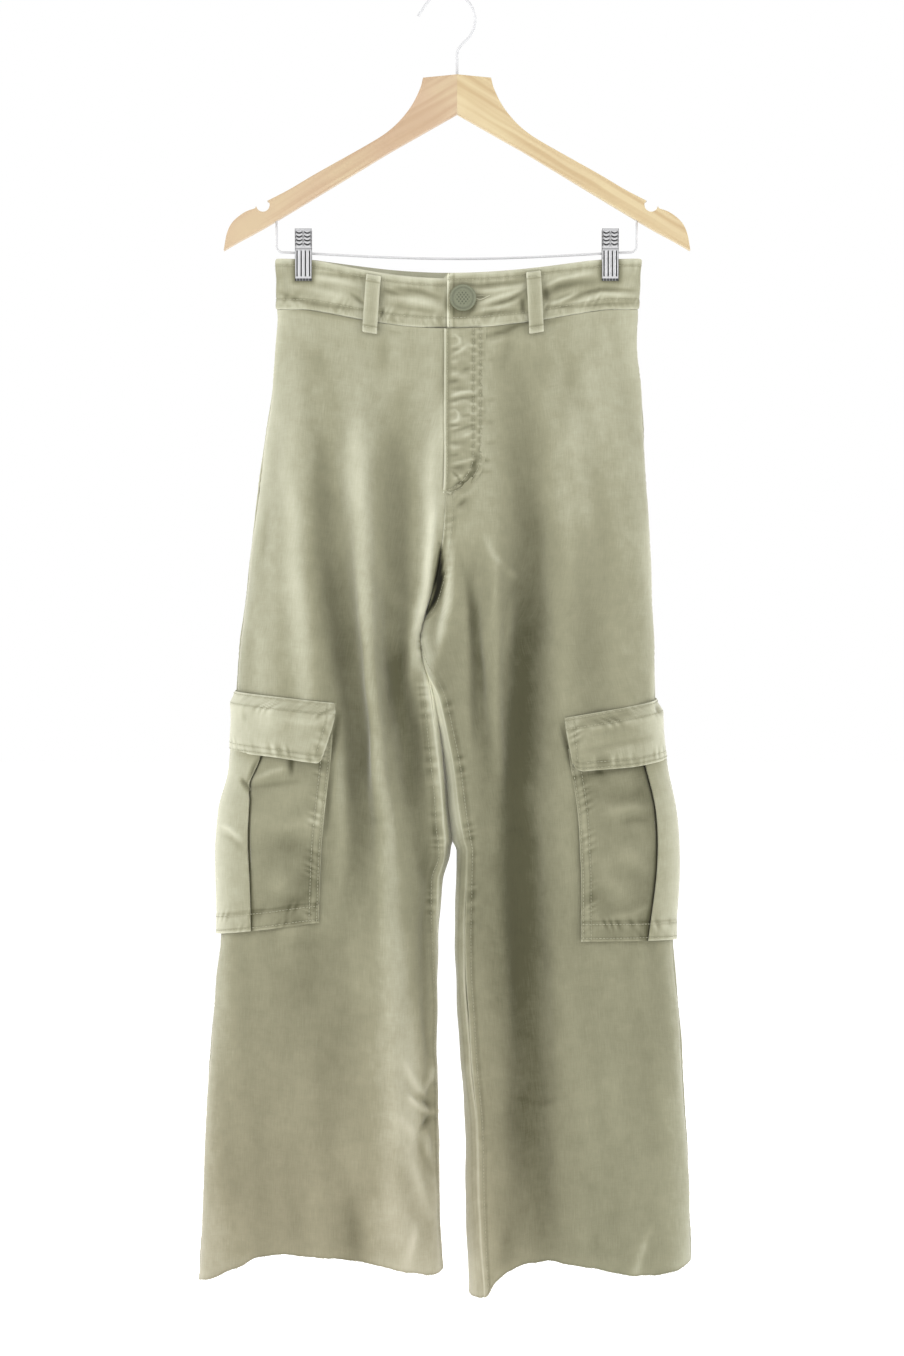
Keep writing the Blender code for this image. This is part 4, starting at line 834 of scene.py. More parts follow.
def drape(face, x, drop):
    """Height and painted light and shade of the long drapes of a face. Their lines wander a little, as cloth
    does.
    """
    height, tone = np.zeros(x.shape), np.zeros(x.shape)
    wander = DRAPE_WANDER * uneven(x * 0.4, drop, 0.070, DRAPE_SEED)
    for number, (side, rise, pale, stations) in enumerate(DRAPES):
        if side == face:
            stations = np.array(stations, float)
            nearest, along, starts = reach_of(stations[:, :2], x + wander, drop)
            half_width = np.interp(along, starts, stations[:, 2]) * MM
            form = np.interp(along, starts, stations[:, 3]) * bell(nearest, half_width)
            form = form * (1 + 0.10 * uneven(along, x * 0, 0.090, FIRST_DRAPE_SEED + number))
            height += rise * MM * form
            tone += pale * form
    return height, tone


def painted_light_and_rim(angle, place):
    """Painted light and shade: paler over the hips, a painted rim highlight along the sides, painted shade
    from the thighs down, and a little paler towards the hems.
    """
    drop = -place[..., 2]
    hips, thighs, hems = 0.20, -0.46 * rises(drop, 0.43, 0.24), 0.10 * rises(drop, 0.95, 0.25)
    side_rim_highlight = 0.80 - 0.50 * (place[..., 0] > 0) * falls(drop, 0.55, 0.07)
    return hips + thighs + hems + side_rim_highlight * bell(angle, 0.44)


def draped(angle, place):
    """Height and painted light and shade of the drapes at places on the form, on whichever face each lies."""
    x, drop = place[..., 0], -place[..., 2]
    front = np.sin(angle) > 0
    high, pale = drape("front", x, drop)
    low, dark = drape("back", x, drop)
    side = smoothstep(np.abs(np.sin(angle)) / 0.35)
    return np.where(front, high, low) * side, np.where(front, pale, dark) * side


# How much the outline is taken in or let out at the sides in millimetres, below the flaps too
SIDE_EASE = [
    # drop, wearer's right side, wearer's left side
    (0.30, -1.2, 0.0),
    (0.40, -1.6, 0.0),
    (0.50, -2.0, 0.5),
    (0.60, -1.2, -0.5),
    (0.66, -2.0, -1.5),
    (0.70, -6.0, -3.0),
    (0.74, -6.5, -4.5),
    (0.78, -1.5, -3.0),
    (0.82, -2.0, -2.5),
    (0.90, -3.5, -4.0),
    (0.94, -1.5, -2.0),
    (1.00, -1.0, -0.5),
    (1.24, 0.0, 0.0),
]
EASE_COLUMNS = ("drop", "right", "left")


def side_ease(leg, angle, place):
    """How far the cloth is let out at the side, fading round the leg."""
    return column(SIDE_EASE, EASE_COLUMNS, leg, -place[..., 2]) * MM * bell(angle, 0.75, 4)


def legs_meet(leg, angle, place):
    """Swells the inner legs until they touch, the wearer's left one over the other, to where they part."""
    drop = -place[..., 2]
    there = rises(drop, 0.585, 0.02) * falls(drop, 0.818, 0.012)
    reach = LEGS_MEET[leg] + LEGS_MEET["lower"] * rises(drop, 0.735, 0.05)
    return reach * there * bell(math.pi - np.abs(angle), 0.55, 4)


def uneven(u, v, size, seed):
    """Smooth uneven swell between about -1 and 1, with bumps of about that size."""
    draw = np.random.default_rng(seed)
    total = 0.0
    for _ in range(7):
        way = draw.uniform(0, math.tau)
        pitch = math.tau / size * draw.uniform(0.45, 1.25)
        total = total + np.sin((u * math.cos(way) + v * math.sin(way)) * pitch + draw.uniform(0, math.tau))
    return total / 3.6


def lowest(values, reach):
    """The lowest value within that many steps of each place of a grid."""
    rows, cols = values.shape
    for _ in range(reach):
        wide = np.pad(values, 1, mode="edge")
        values = np.minimum.reduce([wide[i:i + rows, j:j + cols] for i in (0, 1, 2) for j in (0, 1, 2)])
    return values


def pucker_wave(run, period, seed):
    """Uneven waves along a seam, as thread pulls the cloth between its stitches."""
    turn = math.tau * run / period
    phase = turn + 2.1 * np.sin(turn / 4.7 + seed) + 1.2 * np.sin(turn / 2.3 + 1.7 * seed)
    size = smoothstep(0.55 + 0.5 * np.sin(turn / 6.1 + 2.3 * seed) + 0.3 * np.sin(turn / 2.9 + seed))
    return np.sin(phase) * size


def running(points, axis):
    """Lengths along a grid of points from its first row or column."""
    steps = np.linalg.norm(np.diff(points, axis=axis), axis=2)
    zero = np.zeros((1, steps.shape[1])) if axis == 0 else np.zeros((steps.shape[0], 1))
    return np.concatenate([zero, np.cumsum(steps, axis=axis)], axis=axis)


def placed(name, data):
    """A new object of that data, linked to the scene."""
    made = bpy.data.objects.new(name, data)
    bpy.context.collection.objects.link(made)
    return made


def tube_faces(rings, sides):
    """Faces of a closed tube of rings of points, with a cap at each end."""
    around = list(range(sides))
    faces = [
        (r * sides + a, r * sides + b, (r + 1) * sides + b, (r + 1) * sides + a)
        for r in range(rings - 1)
        for a, b in zip(around, around[1:] + [0])
    ]
    return faces + [tuple(around[::-1]), tuple(a + (rings - 1) * sides for a in around)]


def object_from(name, points, faces, finish, uvs=None, tone=None):
    """An object from arrays of points and lists of faces, with its faces turned out."""
    points = np.asarray(points, float).reshape(-1, 3)
    mesh = bpy.data.meshes.new(name)
    mesh.from_pydata(points.tolist(), [], faces)
    mesh.update()
    if uvs is not None:
        layer = mesh.uv_layers.new(name="cloth")
        corner = np.zeros(len(mesh.loops), np.int32)
        mesh.loops.foreach_get("vertex_index", corner)
        layer.data.foreach_set("uv", np.asarray(uvs, np.float32)[corner].ravel())
    values = np.zeros(len(points), np.float32) if tone is None else np.asarray(tone, np.float32).ravel()
    mesh.attributes.new("tone", "FLOAT", "POINT").data.foreach_set("value", values)
    shape = bmesh.new()
    shape.from_mesh(mesh)
    if shape.calc_volume(signed=True) < 0:
        bmesh.ops.reverse_faces(shape, faces=shape.faces)
        shape.to_mesh(mesh)
    shape.free()
    mesh.shade_smooth()
    mesh.set_sharp_from_angle(angle=SHARP_FROM)
    mesh.materials.append(finish)
    return placed(name, mesh)


class Threads:
    """Collects sewing stitches and loose threads, and makes them into one mesh."""

    SIDES = 5

    def __init__(self, name, finish):
        self.name, self.finish = name, finish
        self.points, self.faces, self.tones = [], [], []
        self.count = 0

    def tubes(self, centres, across, up, sizes, tone):
        """Adds closed tubes: centres are n tubes of m stations, with two side directions and sizes."""
        turns = np.arange(self.SIDES) * math.tau / self.SIDES
        circle = np.cos(turns)[:, None] * across[:, :, None] + np.sin(turns)[:, None] * up[:, :, None]
        sizes = np.broadcast_to(sizes, centres.shape[:2])
        points = centres[:, :, None] + circle * sizes[:, :, None, None]
        tubes, stations = centres.shape[:2]
        one = tube_faces(stations, self.SIDES)
        each = stations * self.SIDES
        for first in range(self.count, self.count + tubes * each, each):
            self.faces += [tuple(i + first for i in face) for face in one]
        self.points.append(points.reshape(-1, 3))
        self.tones.append(np.repeat(tone, each))
        self.count += tubes * each

    def lay(self, centres, normals, sizes, tone):
        """Adds tubes that lie along their stations on the cloth."""
        way = unit(np.gradient(centres, axis=1))
        across = unit(np.cross(way, normals))
        self.tubes(centres, across, np.cross(across, way), sizes, tone)

    def sew(self, line, normals, seed, pitch=0.0033, share=0.80, radius=0.00030):
        """A row of stitches along a line on the cloth."""
        along = np.concatenate([[0], np.cumsum(np.linalg.norm(np.diff(line, axis=0), axis=1))])
        count = int(along[-1] / pitch)
        if count < 1:
            return
        draw = np.random.default_rng(seed)
        starts = (np.arange(count) + 0.5 * (1 - share)) * pitch + draw.normal(0, 0.00008, count)
        shares, rises_by, widths = np.array(STITCH).T
        places = starts[:, None] + shares[None, :] * pitch * share
        at = np.interp(places, along, np.arange(len(along)))
        i = np.minimum(at.astype(int), len(line) - 2)
        t = (at - i)[..., None]
        centres = line[i] * (1 - t) + line[i + 1] * t
        up = unit(normals[i] * (1 - t) + normals[i + 1] * t)
        across = unit(np.cross(unit(np.gradient(centres, axis=1)), up))
        centres = centres + up * (rises_by * radius)[None, :, None]
        self.tubes(centres, across, up, widths * radius, draw.normal(0, 0.12, count))

    def build(self):
        points = np.concatenate(self.points)
        return object_from(
            self.name, points, self.faces, self.finish, points[:, [0, 2]], np.concatenate(self.tones)
        )


class Cloth:
    """A grid of cloth on the garment's form, with relief, tone and rows of sewing added to it."""

    def __init__(self, name, outer, inner, normal, threads, seed):
        self.name, self.outer, self.inner, self.normal = name, outer, inner, normal
        self.threads, self.seed = threads, seed
        across, down = running(outer, 1), running(outer, 0)
        self.away = {
            "left": across, "right": across[:, -1:] - across, "top": down, "bottom": down[-1:] - down,
        }
        self.run = {"left": down, "right": down, "top": across, "bottom": across}
        self.uv = np.stack([across - across[:, -1:] / 2, down], axis=-1)
        self.size = (across[:, -1].max(), down[-1].max())
        self.lift = np.zeros(outer.shape[:2])
        self.swell = np.zeros(outer.shape[:2])
        self.tone = np.zeros(outer.shape[:2])
        self.rolled = 0
        self.rows = []
        self.inside_tone = 0.1

    def window(self, side, span):
        """1 along the stretch of an edge between two shares of its length, and 0 beyond it."""
        run = self.run[side]
        total = run.max()
        first = smoothstep((run - span[0] * total) / SPAN_FADE + 1)
        return first * smoothstep((span[1] * total - run) / SPAN_FADE + 1)

    def mark(self, side, tone, width, distance=0.0, power=2):
        """Pales or darkens a line along an edge."""
        self.tone += tone * bell(self.away[side] - distance, width, power)

    def band(self, side, height, width, fade=0.0014):
        """Raises a band along an edge, where the cloth is doubled."""
        self.swell += height * (1 - rises(self.away[side], width, fade))

    def fold_under(self, side, width, height, span=(0, 1), marked=1.0):
        """A seam allowance behind the cloth raises a band along an edge."""
        away = self.away[side]
        inside = self.window(side, span)
        self.swell += inside * height * (1 - rises(away, width, 0.0014))
        # Painted highlight on the folded edge, and a line of painted shade where the allowance ends
        shade = 0.55 * bell(away, 0.0013) - 0.30 * bell(away - width - 0.001, 0.0012)
        self.tone += marked * inside * shade

    def sew(self, side, distance, span=(0, 1), depth=0.00016, period=0.0105, groove=0.00022, reach=0.0055):
        """A row of stitches at that distance from an edge, with the puckers that it draws up, and painted
        shade on them and in its groove.
        """
        self.seed += 1
        off = self.away[side] - distance
        inside = self.window(side, span)
        wave = depth * pucker_wave(self.run[side] + 0.35 * off, period, self.seed) * bell(off, reach)
        self.swell += inside * (wave - groove * bell(off, 0.0009))
        self.tone += inside * (PAINTED_SHADE_OF_PUCKER * wave - 0.26 * bell(off, 0.0011))
        self.rows.append((side, distance, span))

    def roll(self, sides, thick):
        """Rounds the cloth over at its folded edges, with a painted highlight along them."""
        for side in sides:
            round_by = thick / 2 * (1 - rounding(self.away[side], thick * 0.9))
            self.swell -= round_by
            self.rolled = self.rolled + round_by
            self.mark(side, 0.35, 0.0016)

    def crease(self, piece):
        """Adds a piece's small creases, with painted shade: paler on their ridges, darker in their valleys.
        """
        height = crease_height(piece, self.outer[..., 0], -self.outer[..., 2])
        self.lift += height
        self.tone += np.clip(height * PAINTED_SHADE_OF_CREASE[piece], -0.75, 0.60)

    def line(self, side, distance, span):
        """Points and normals along an edge at that distance from it."""
        away, run = self.away[side], self.run[side]
        upright = side in ("left", "right")
        if not upright:
            away, run = away.T, run.T
        step = -1 if side in ("right", "bottom") else 1
        steps = np.arange(away.shape[1])[::step]
        share = run[:, 0] / run[-1, 0]
        inside = (share >= span[0]) & (share <= span[1])
        along = np.arange(len(away), dtype=float)[inside]
        cross = np.array([np.interp(distance, row[::step], steps) for row in away])[inside]
        row, col = (along, cross) if upright else (cross, along)
        return between(self.final, row, col), between(self.normal, row, col)

    def build(self, finish, thin=3):
        """The closed wall: the fine outside, and an inside with fewer points."""
        self.final = self.outer + self.normal * (self.lift + self.swell)[..., None]
        behind = lowest(self.lift, thin) + self.rolled
        rows, cols = self.lift.shape
        kept_rows = sorted(set(range(0, rows, thin)) | {rows - 1})
        kept_cols = sorted(set(range(0, cols, thin)) | {cols - 1})
        kept = np.ix_(kept_rows, kept_cols)
        inside = (self.inner + self.normal * behind[..., None])[kept]
        index = np.arange(rows * cols).reshape(rows, cols)
        within = rows * cols + np.arange(len(kept_rows) * len(kept_cols)).reshape(inside.shape[:2])
        faces = []
        for grid, way in ((index, 1), (within, -1)):
            corners = [grid[:-1, :-1], grid[1:, :-1], grid[1:, 1:], grid[:-1, 1:]]
            corners = [corners[0]] + corners[1:][::way]
            faces += np.stack(corners, axis=-1).reshape(-1, 4).tolist()
        rims = [
            (index[0, :], within[0, :], kept_cols, 1),
            (index[-1, :], within[-1, :], kept_cols, -1),
            (index[:, 0], within[:, 0], kept_rows, -1),
            (index[:, -1], within[:, -1], kept_rows, 1),
        ]
        for fine, coarse, stops, way in rims:
            for a, (start, stop) in enumerate(zip(stops, stops[1:])):
                face = [*fine[start:stop + 1].tolist(), int(coarse[a + 1]), int(coarse[a])]
                faces.append(face[::way])
        points = np.concatenate([self.final.reshape(-1, 3), inside.reshape(-1, 3)])
        uvs = np.concatenate([self.uv.reshape(-1, 2), self.uv[kept].reshape(-1, 2)])
        tone = np.concatenate([self.tone.ravel(), np.full(within.size, self.inside_tone)])
        made = object_from(self.name, points, faces, finish, uvs, tone)
        for number, (side, distance, span) in enumerate(self.rows):
            line, normals = self.line(side, distance, span)
            self.threads.sew(line, normals, self.seed * 50 + number)
        return made

    def cut(self):
        """Flat width and length of the piece, and its area, in metres."""
        down = self.outer[1:, :-1] - self.outer[:-1, :-1]
        across = self.outer[:-1, 1:] - self.outer[:-1, :-1]
        area = np.linalg.norm(np.cross(down, across), axis=2).sum()
        return (float(self.size[0]), float(self.size[1])), float(area)


def on_form(leg, angles, drops):
    """Cloth points and their outward directions."""
    return surface(leg, angles, drops), outward(leg, angles, drops)


class Shader:
    """A material made of nodes, one short call for each node."""

    def __init__(self, name):
        self.material = bpy.data.materials.new(name)
        self.material.use_nodes = True
        self.tree = self.material.node_tree
        self.base = self.tree.nodes["Principled BSDF"]

    def add(self, kind, *inputs, **settings):
        """Adds a node. Inputs are values or sockets for its inputs in order, and None leaves one."""
        made = self.tree.nodes.new(f"ShaderNode{kind}")
        for key, value in settings.items():
            setattr(made, key, value)
        for socket, value in zip(made.inputs, inputs):
            self.fill(socket, value)
        return made

    def fill(self, socket, value):
        """Joins a socket to the one given, or gives it a plain value."""
        if isinstance(value, bpy.types.NodeSocket):
            self.tree.links.new(value, socket)
        elif value is not None:
            socket.default_value = value

    def place(self):
        return self.add("TexCoord").outputs["Object"]

    def flat(self):
        return self.add("UVMap", uv_map="cloth").outputs["UV"]

    def tone(self):
        return self.add("Attribute", attribute_name="tone").outputs["Fac"]

    def noise(self, coordinates, scale, detail=2.0, roughness=0.5):
        """Noise values of that scale, from 0 to 1."""
        made = self.add("TexNoise")
        for key, value in (
            ("Vector", coordinates), ("Scale", scale), ("Detail", detail), ("Roughness", roughness),
        ):
            self.fill(made.inputs[key], value)
        return made.outputs["Fac"]

    def stretched(self, coordinates, scale):
        return self.add("VectorMath", coordinates, scale, operation="MULTIPLY").outputs["Vector"]

    def maths(self, operation, *inputs):
        return self.add("Math", *inputs, operation=operation).outputs["Value"]

    def mix(self, share, first, second, blend="MIX"):
        """Blends two colours, each a socket or a plain red, green and blue."""
        made = self.add("Mix", data_type="RGBA", blend_type=blend, clamp_factor=True)
        self.fill(made.inputs["Factor"], share)
        for key, colour in (("A", first), ("B", second)):
            self.fill(made.inputs[key], (*colour, 1) if isinstance(colour, tuple) else colour)
        return made.outputs["Result"]

    def range(self, value, low, high, to_low, to_high):
        return self.add("MapRange", value, low, high, to_low, to_high).outputs["Result"]

    def colour(self, value):
        self.fill(self.base.inputs["Base Color"], value)

    def bump(self, height, strength, distance):
        """Joins a height to the surface's relief."""
        made = self.add("Bump")
        for key, value in (("Strength", strength), ("Distance", distance), ("Height", height)):
            self.fill(made.inputs[key], value)
        self.fill(self.base.inputs["Normal"], made.outputs["Normal"])

    def finish(self, roughness, metallic=0.0, **sockets):
        """Sets the surface's own values and gives the material."""
        self.base.inputs["Roughness"].default_value = roughness
        self.base.inputs["Metallic"].default_value = metallic
        for key, value in sockets.items():
            self.base.inputs[key.replace("_", " ")].default_value = value
        return self.material


def times(colour, share):
    return tuple(part * share for part in colour)


def cloth_material(name, colour, pale, dark, weave=1.0):
    """Washed twill: slub streaks both ways, soft dye blotches, a fine diagonal rib, and the painted light and
    shade that the tone attribute carries.
    """
    s = Shader(name)
    flat, place, tone = s.flat(), s.place(), s.tone()
    wash_blotches = s.noise(place, 7.0, 3.0, 0.5)
    mottle = s.noise(place, 80.0, 3.0, 0.6)
    warp = s.noise(s.stretched(flat, (1150.0, 60.0, 1.0)), 1.0, 3.0, 0.6)
    weft = s.noise(s.stretched(flat, (70.0, 1150.0, 1.0)), 1.0, 3.0, 0.6)
    slub = s.maths("ADD", s.range(warp, 0.25, 0.75, -1.0, 1.0), s.range(weft, 0.25, 0.75, -0.5, 0.5))
    level = s.maths("ADD", tone, s.range(wash_blotches, 0.3, 0.7, -0.09, 0.09))
    level = s.maths("ADD", level, s.range(mottle, 0.3, 0.7, -0.08, 0.08))
    level = s.maths("ADD", level, s.maths("MULTIPLY", slub, 0.105 * weave))
    # The level pales above 0 for painted light and darkens below 0 for painted shade; its blotches and slubs
    # are the dye's own
    worn_and_lit = s.mix(s.range(level, 0.0, 1.0, 0.0, 1.0), colour, pale)
    worn_and_lit = s.mix(s.range(level, 1.0, 2.2, 0.0, 1.0), worn_and_lit, times(pale, 1.5))
    shaded = s.mix(s.range(level, 0.0, -1.0, 0.0, 1.0), worn_and_lit, dark)
    # Near black for the deepest painted shadow
    deepest_shadow = s.mix(s.range(level, -1.1, -2.2, 0.0, 1.0), shaded, times(dark, 0.15))
    where = s.add("SeparateXYZ", place)
    low = s.range(where.outputs["Z"], -0.85, -1.15, 0.0, 1.0)
    low = s.maths("MULTIPLY", low, s.range(where.outputs["X"], 0.02, 0.14, 1.0, 0.0))
    s.colour(s.mix(low, deepest_shadow, WARM_HEMS, "MULTIPLY"))
    split = s.add("SeparateXYZ", flat)
    diagonal = s.maths("ADD", split.outputs["X"], split.outputs["Y"])
    rib = s.maths("SINE", s.maths("MULTIPLY", diagonal, math.tau / RIB_PITCH))
    cross = s.maths("SINE", s.maths("MULTIPLY", split.outputs["Y"], math.tau / WEFT_PITCH))
    height = s.maths("ADD", s.maths("MULTIPLY", rib, 0.5), s.maths("MULTIPLY", cross, 0.25))
    s.bump(s.maths("ADD", height, slub), 0.45 * weave, 0.00012)
    return s.finish(0.92, Sheen_Weight=0.45, Sheen_Roughness=0.35, Specular_IOR_Level=0.2)


def wood_material(name, light, warm, line):
    """Pale varnished softwood: long grain lines, with pinker and yellower patches."""
    s = Shader(name)
    flat, place = s.flat(), s.place()
    bend = s.noise(s.stretched(flat, (9.0, 30.0, 1.0)), 1.0, 2.0)
    shift = s.add("CombineXYZ", 0.0, s.maths("MULTIPLY", bend, 0.010), 0.0).outputs["Vector"]
    wavy = s.add("VectorMath", flat, shift).outputs["Vector"]
    grain = s.noise(s.stretched(wavy, (5.0, 170.0, 1.0)), 1.0, 1.5, 0.5)
    patches = s.noise(place, 13.0, 2.0)
    tint = s.mix(s.range(patches, 0.35, 0.68, 0.0, 1.0), light, warm)
    s.colour(s.mix(s.range(grain, 0.42, 0.66, 0.0, 0.85), tint, line))
    s.bump(grain, 0.05, 0.0001)
    return s.finish(0.50, Coat_Weight=0.10, Coat_Roughness=0.35)


def metal_material(name, colour, roughness, shade_and_dirt=0.0, metallic=1.0, scuffed=0.35):
    """Metal with faint scuffs, darker where its tone marks painted shade and dirt in a groove."""
    s = Shader(name)
    place, tone = s.place(), s.tone()
    scuffs = s.noise(s.stretched(place, (900.0, 900.0, 260.0)), 1.0, 3.0, 0.6)
    base = s.mix(s.range(scuffs, 0.45, 0.85, 0.0, scuffed), colour, times(colour, 0.72))
    s.colour(s.mix(s.range(tone, 0.0, -1.0, 0.0, 1.0), base, times(colour, shade_and_dirt)))
    if scuffed > 0:
        rough = s.range(scuffs, 0.3, 0.8, roughness * 0.7, roughness * 1.4)
        s.fill(s.base.inputs["Roughness"], rough)
    return s.finish(roughness, metallic)


def floor_material():
    s = Shader("pale_floor")
    s.colour(s.mix(s.noise(s.place(), 0.6, 2.0), (0.94, 0.94, 0.935), (0.96, 0.96, 0.955)))
    s.base.inputs["Emission Color"].default_value = (1, 1, 1, 1)
    return s.finish(0.9, Emission_Strength=0.85, Specular_IOR_Level=0.0)


def rows_of(first, last, step, extra=()):
    """Heights from first to last in steps, with some extra ones between."""
    even = np.linspace(first, last, int(round((last - first) / step)) + 1)
    return np.unique(np.concatenate([even, np.asarray(extra, float)]))


def panel_grid(leg, face):
    """The angles and drops of a panel's points, from seam to seam and from waist to hem."""
    step, way = (FRONT_STEP, 1) if face == "front" else (BACK_STEP, -1)
    near_crotch = CROTCH - RISE_CURVE * np.array(NEAR_CROTCH)
    drops = rows_of(WAIST_SEAM + GAP / 2, HEM, step, near_crotch)
    side = seam_turn(f"{leg}_side", drops)
    inseam = math.pi - seam_turn(f"{leg}_inseam", drops)
    if face == "back":
        inseam = inseam - 2 * math.pi
    start = turned_by(leg, side, drops, way * SEAM_SLIT)
    stop = turned_by(leg, inseam, drops, -way * SEAM_SLIT)
    tries = start[:, None] + (stop - start)[:, None] * np.linspace(0, 1, 260)
    lines = surface(leg, tries, drops[:, None])
    count = int(round(np.median(running(lines, 1)[:, -1]) / step))
    angles = np.array([
        np.interp(spaced(line, count, 0.006), np.arange(260), row) for line, row in zip(lines, tries)
    ])
    return angles, np.broadcast_to(drops[:, None], angles.shape)


def inner_leg_tone(leg, face, angles, drops):
    """Painted light on the inner legs from the knee down, and where the wearer's left leg lies over the
    other: painted light on it and painted shade on the front of the leg beneath.
    """
    from_inner = (math.pi - np.abs(angles)) / 0.34
    tone = 0.70 * bell(from_inner, 1.0) * rises(drops, 0.80, 0.06)
    overlapping = rises(drops, 0.59, 0.02) * falls(drops, 0.84, 0.05)
    if leg == "left":
        pale, width = (0.85, 0.5) if face == "front" else (1.7, 1.3)
        return tone + pale * bell(from_inner, width) * overlapping
    if face == "front":
        return tone - 0.75 * bell(from_inner, 0.35) * overlapping * falls(drops, 0.80, 0.04)
    return tone


def panel_seams(cloth, leg, face):
    """The seam allowances and rows of sewing of a panel, and the painted shadow under the waistband."""
    length = HEM - WAIST_SEAM
    crotch, fly_end = (CROTCH - WAIST_SEAM) / length, (FLY_END - WAIST_SEAM) / length
    down = -cloth.outer[..., 2]
    cloth.swell += 0.0002 * pucker_wave(down, 0.009, 2.0) * bell(cloth.away["left"], 0.006)
    cloth.fold_under("left", 0.0085, 0.0002, marked=0.15)
    if face == "front":
        # Painted shadow under the waistband
        band_shadow = sum(bell(cloth.outer[..., 0] - middle, 0.036, 4) for middle in BAND_SHADOW_X)
        cloth.mark("top", -0.50 * band_shadow, 0.0030)
        cloth.fold_under("right", 0.0080, 0.00045, (crotch, 1))
        cloth.sew("right", 0.0066, (crotch, 0.62), depth=0.00035)
        cloth.sew("right", 0.0066, (0.62, 1), depth=0.00010)
    else:
        cloth.fold_under("right", 0.0080, 0.00035, (crotch, 1))
    if leg == "left":
        from_share, height = (fly_end, 0.0004) if face == "front" else (0, 0.0005)
        depth = 0.00016 if face == "front" else 0.00035
        cloth.fold_under("right", 0.0090, height, (from_share, crotch))
        cloth.sew("right", 0.0018, (from_share, 0.242 if face == "front" else crotch - 0.004), depth)
        cloth.sew("right", 0.0078, (from_share, crotch - 0.004), depth)


def raw_hem(cloth, seed):
    """Makes the cut edge ragged, a little curled and darker at its very end."""
    across, away = cloth.away["left"], cloth.away["bottom"]
    ragged = 0.0005 * uneven(across, away * 0, 0.022, seed + 2)
    ragged = ragged + 0.0002 * uneven(across, away * 0, 0.007, seed + 3)
    lower = np.array([0, 0, 1]) * (ragged * np.exp(-away / 0.006))[..., None]
    cloth.outer = cloth.outer - lower
    cloth.inner = cloth.inner - lower
    cloth.lift += 0.0016 * (0.5 + 0.5 * uneven(across, away * 0, 0.050, seed + 4)) * bell(away, 0.004)
    cloth.mark("bottom", 0.12, 0.010)
    cloth.mark("bottom", -0.40, 0.0016)


def panel(leg, face, threads):
    """One cut piece: half a front or half a back, from waist seam to hem."""
    angles, drops = panel_grid(leg, face)
    place, normal = on_form(leg, angles, drops)
    sewing_seed, seed = PANEL_SEEDS[leg, face]
    inner = place - normal * CLOTH
    cloth = Cloth(f"{face}_{leg}_cloth", place, inner, normal, threads, sewing_seed)
    height, tone = draped(angles, place)
    cloth.lift += height + side_ease(leg, angles, place) + legs_meet(leg, angles, place)
    # Painted light and shade of the drapes, of the light's fall down the legs and on the inner legs
    cloth.tone += tone + painted_light_and_rim(angles, place) + inner_leg_tone(leg, face, angles, drops)
    across = cloth.away["left"]
    swell = PANEL_SWELL * uneven(across, drops * 0.30, 0.060, seed)
    swell = swell + 0.0005 * uneven(across, drops * 0.5, 0.026, seed + 1)
    cloth.lift += rises(drops, WAIST_SEAM, 0.030) * swell
    # Painted shade on the swells: paler where they rise, darker where they sink, with random tone
    cloth.tone += 0.07 * swell / PANEL_SWELL + 0.06 * uneven(across, drops * 0.14, 0.024, seed + 7)
    cloth.crease(face)
    cloth.lift *= rises(drops, WAIST_SEAM, 0.008)
    panel_seams(cloth, leg, face)
    if face == "front":
        # Painted shadow: the hollow between the legs takes a near-black tone
        hollow = hollow_share(place[..., 0], -place[..., 2])
        cloth.tone = cloth.tone * (1 - hollow) + HOLLOW_SHADOW_TONE * hollow
    raw_hem(cloth, seed)
    return cloth


def pieces_of_band():
    """The waistband's columns: leg, angle and how far that stretch is pushed in under the overlap."""
    tuck = angle_at_x("left", "front", CENTRE_X + np.linspace(UNDERLAP, 0.0006, 16), WAIST_SEAM)
    stretches = [("left", tuck, np.full(16, UNDERLAP_PUSH))]
    halves = {}
    for leg in ("right", "left"):
        for face, end in (("front", math.pi), ("back", -math.pi)):
            tries = np.linspace(0, end, 600)
            line = leg_point(leg, tries, WAIST_SEAM)
            count = int(np.linalg.norm(np.diff(line, axis=0), axis=1).sum() / BAND_STEP)
            halves[leg, face] = np.interp(spaced(line, count, 0.004), np.arange(600), tries)
    front = halves["right", "front"][::-1]
    reach = np.abs(leg_point("right", front, WAIST_SEAM)[:, 0] - CENTRE_X)
    stretches.append(("right", front, UNDERLAP_PUSH * (1 - smoothstep(reach / 0.030))))
    for leg, angles in (
        ("right", halves["right", "back"][1:]),
        ("left", halves["left", "back"][::-1][1:]),
        ("left", halves["left", "front"][1:]),
    ):
        stretches.append((leg, angles, np.zeros(len(angles))))
    return stretches


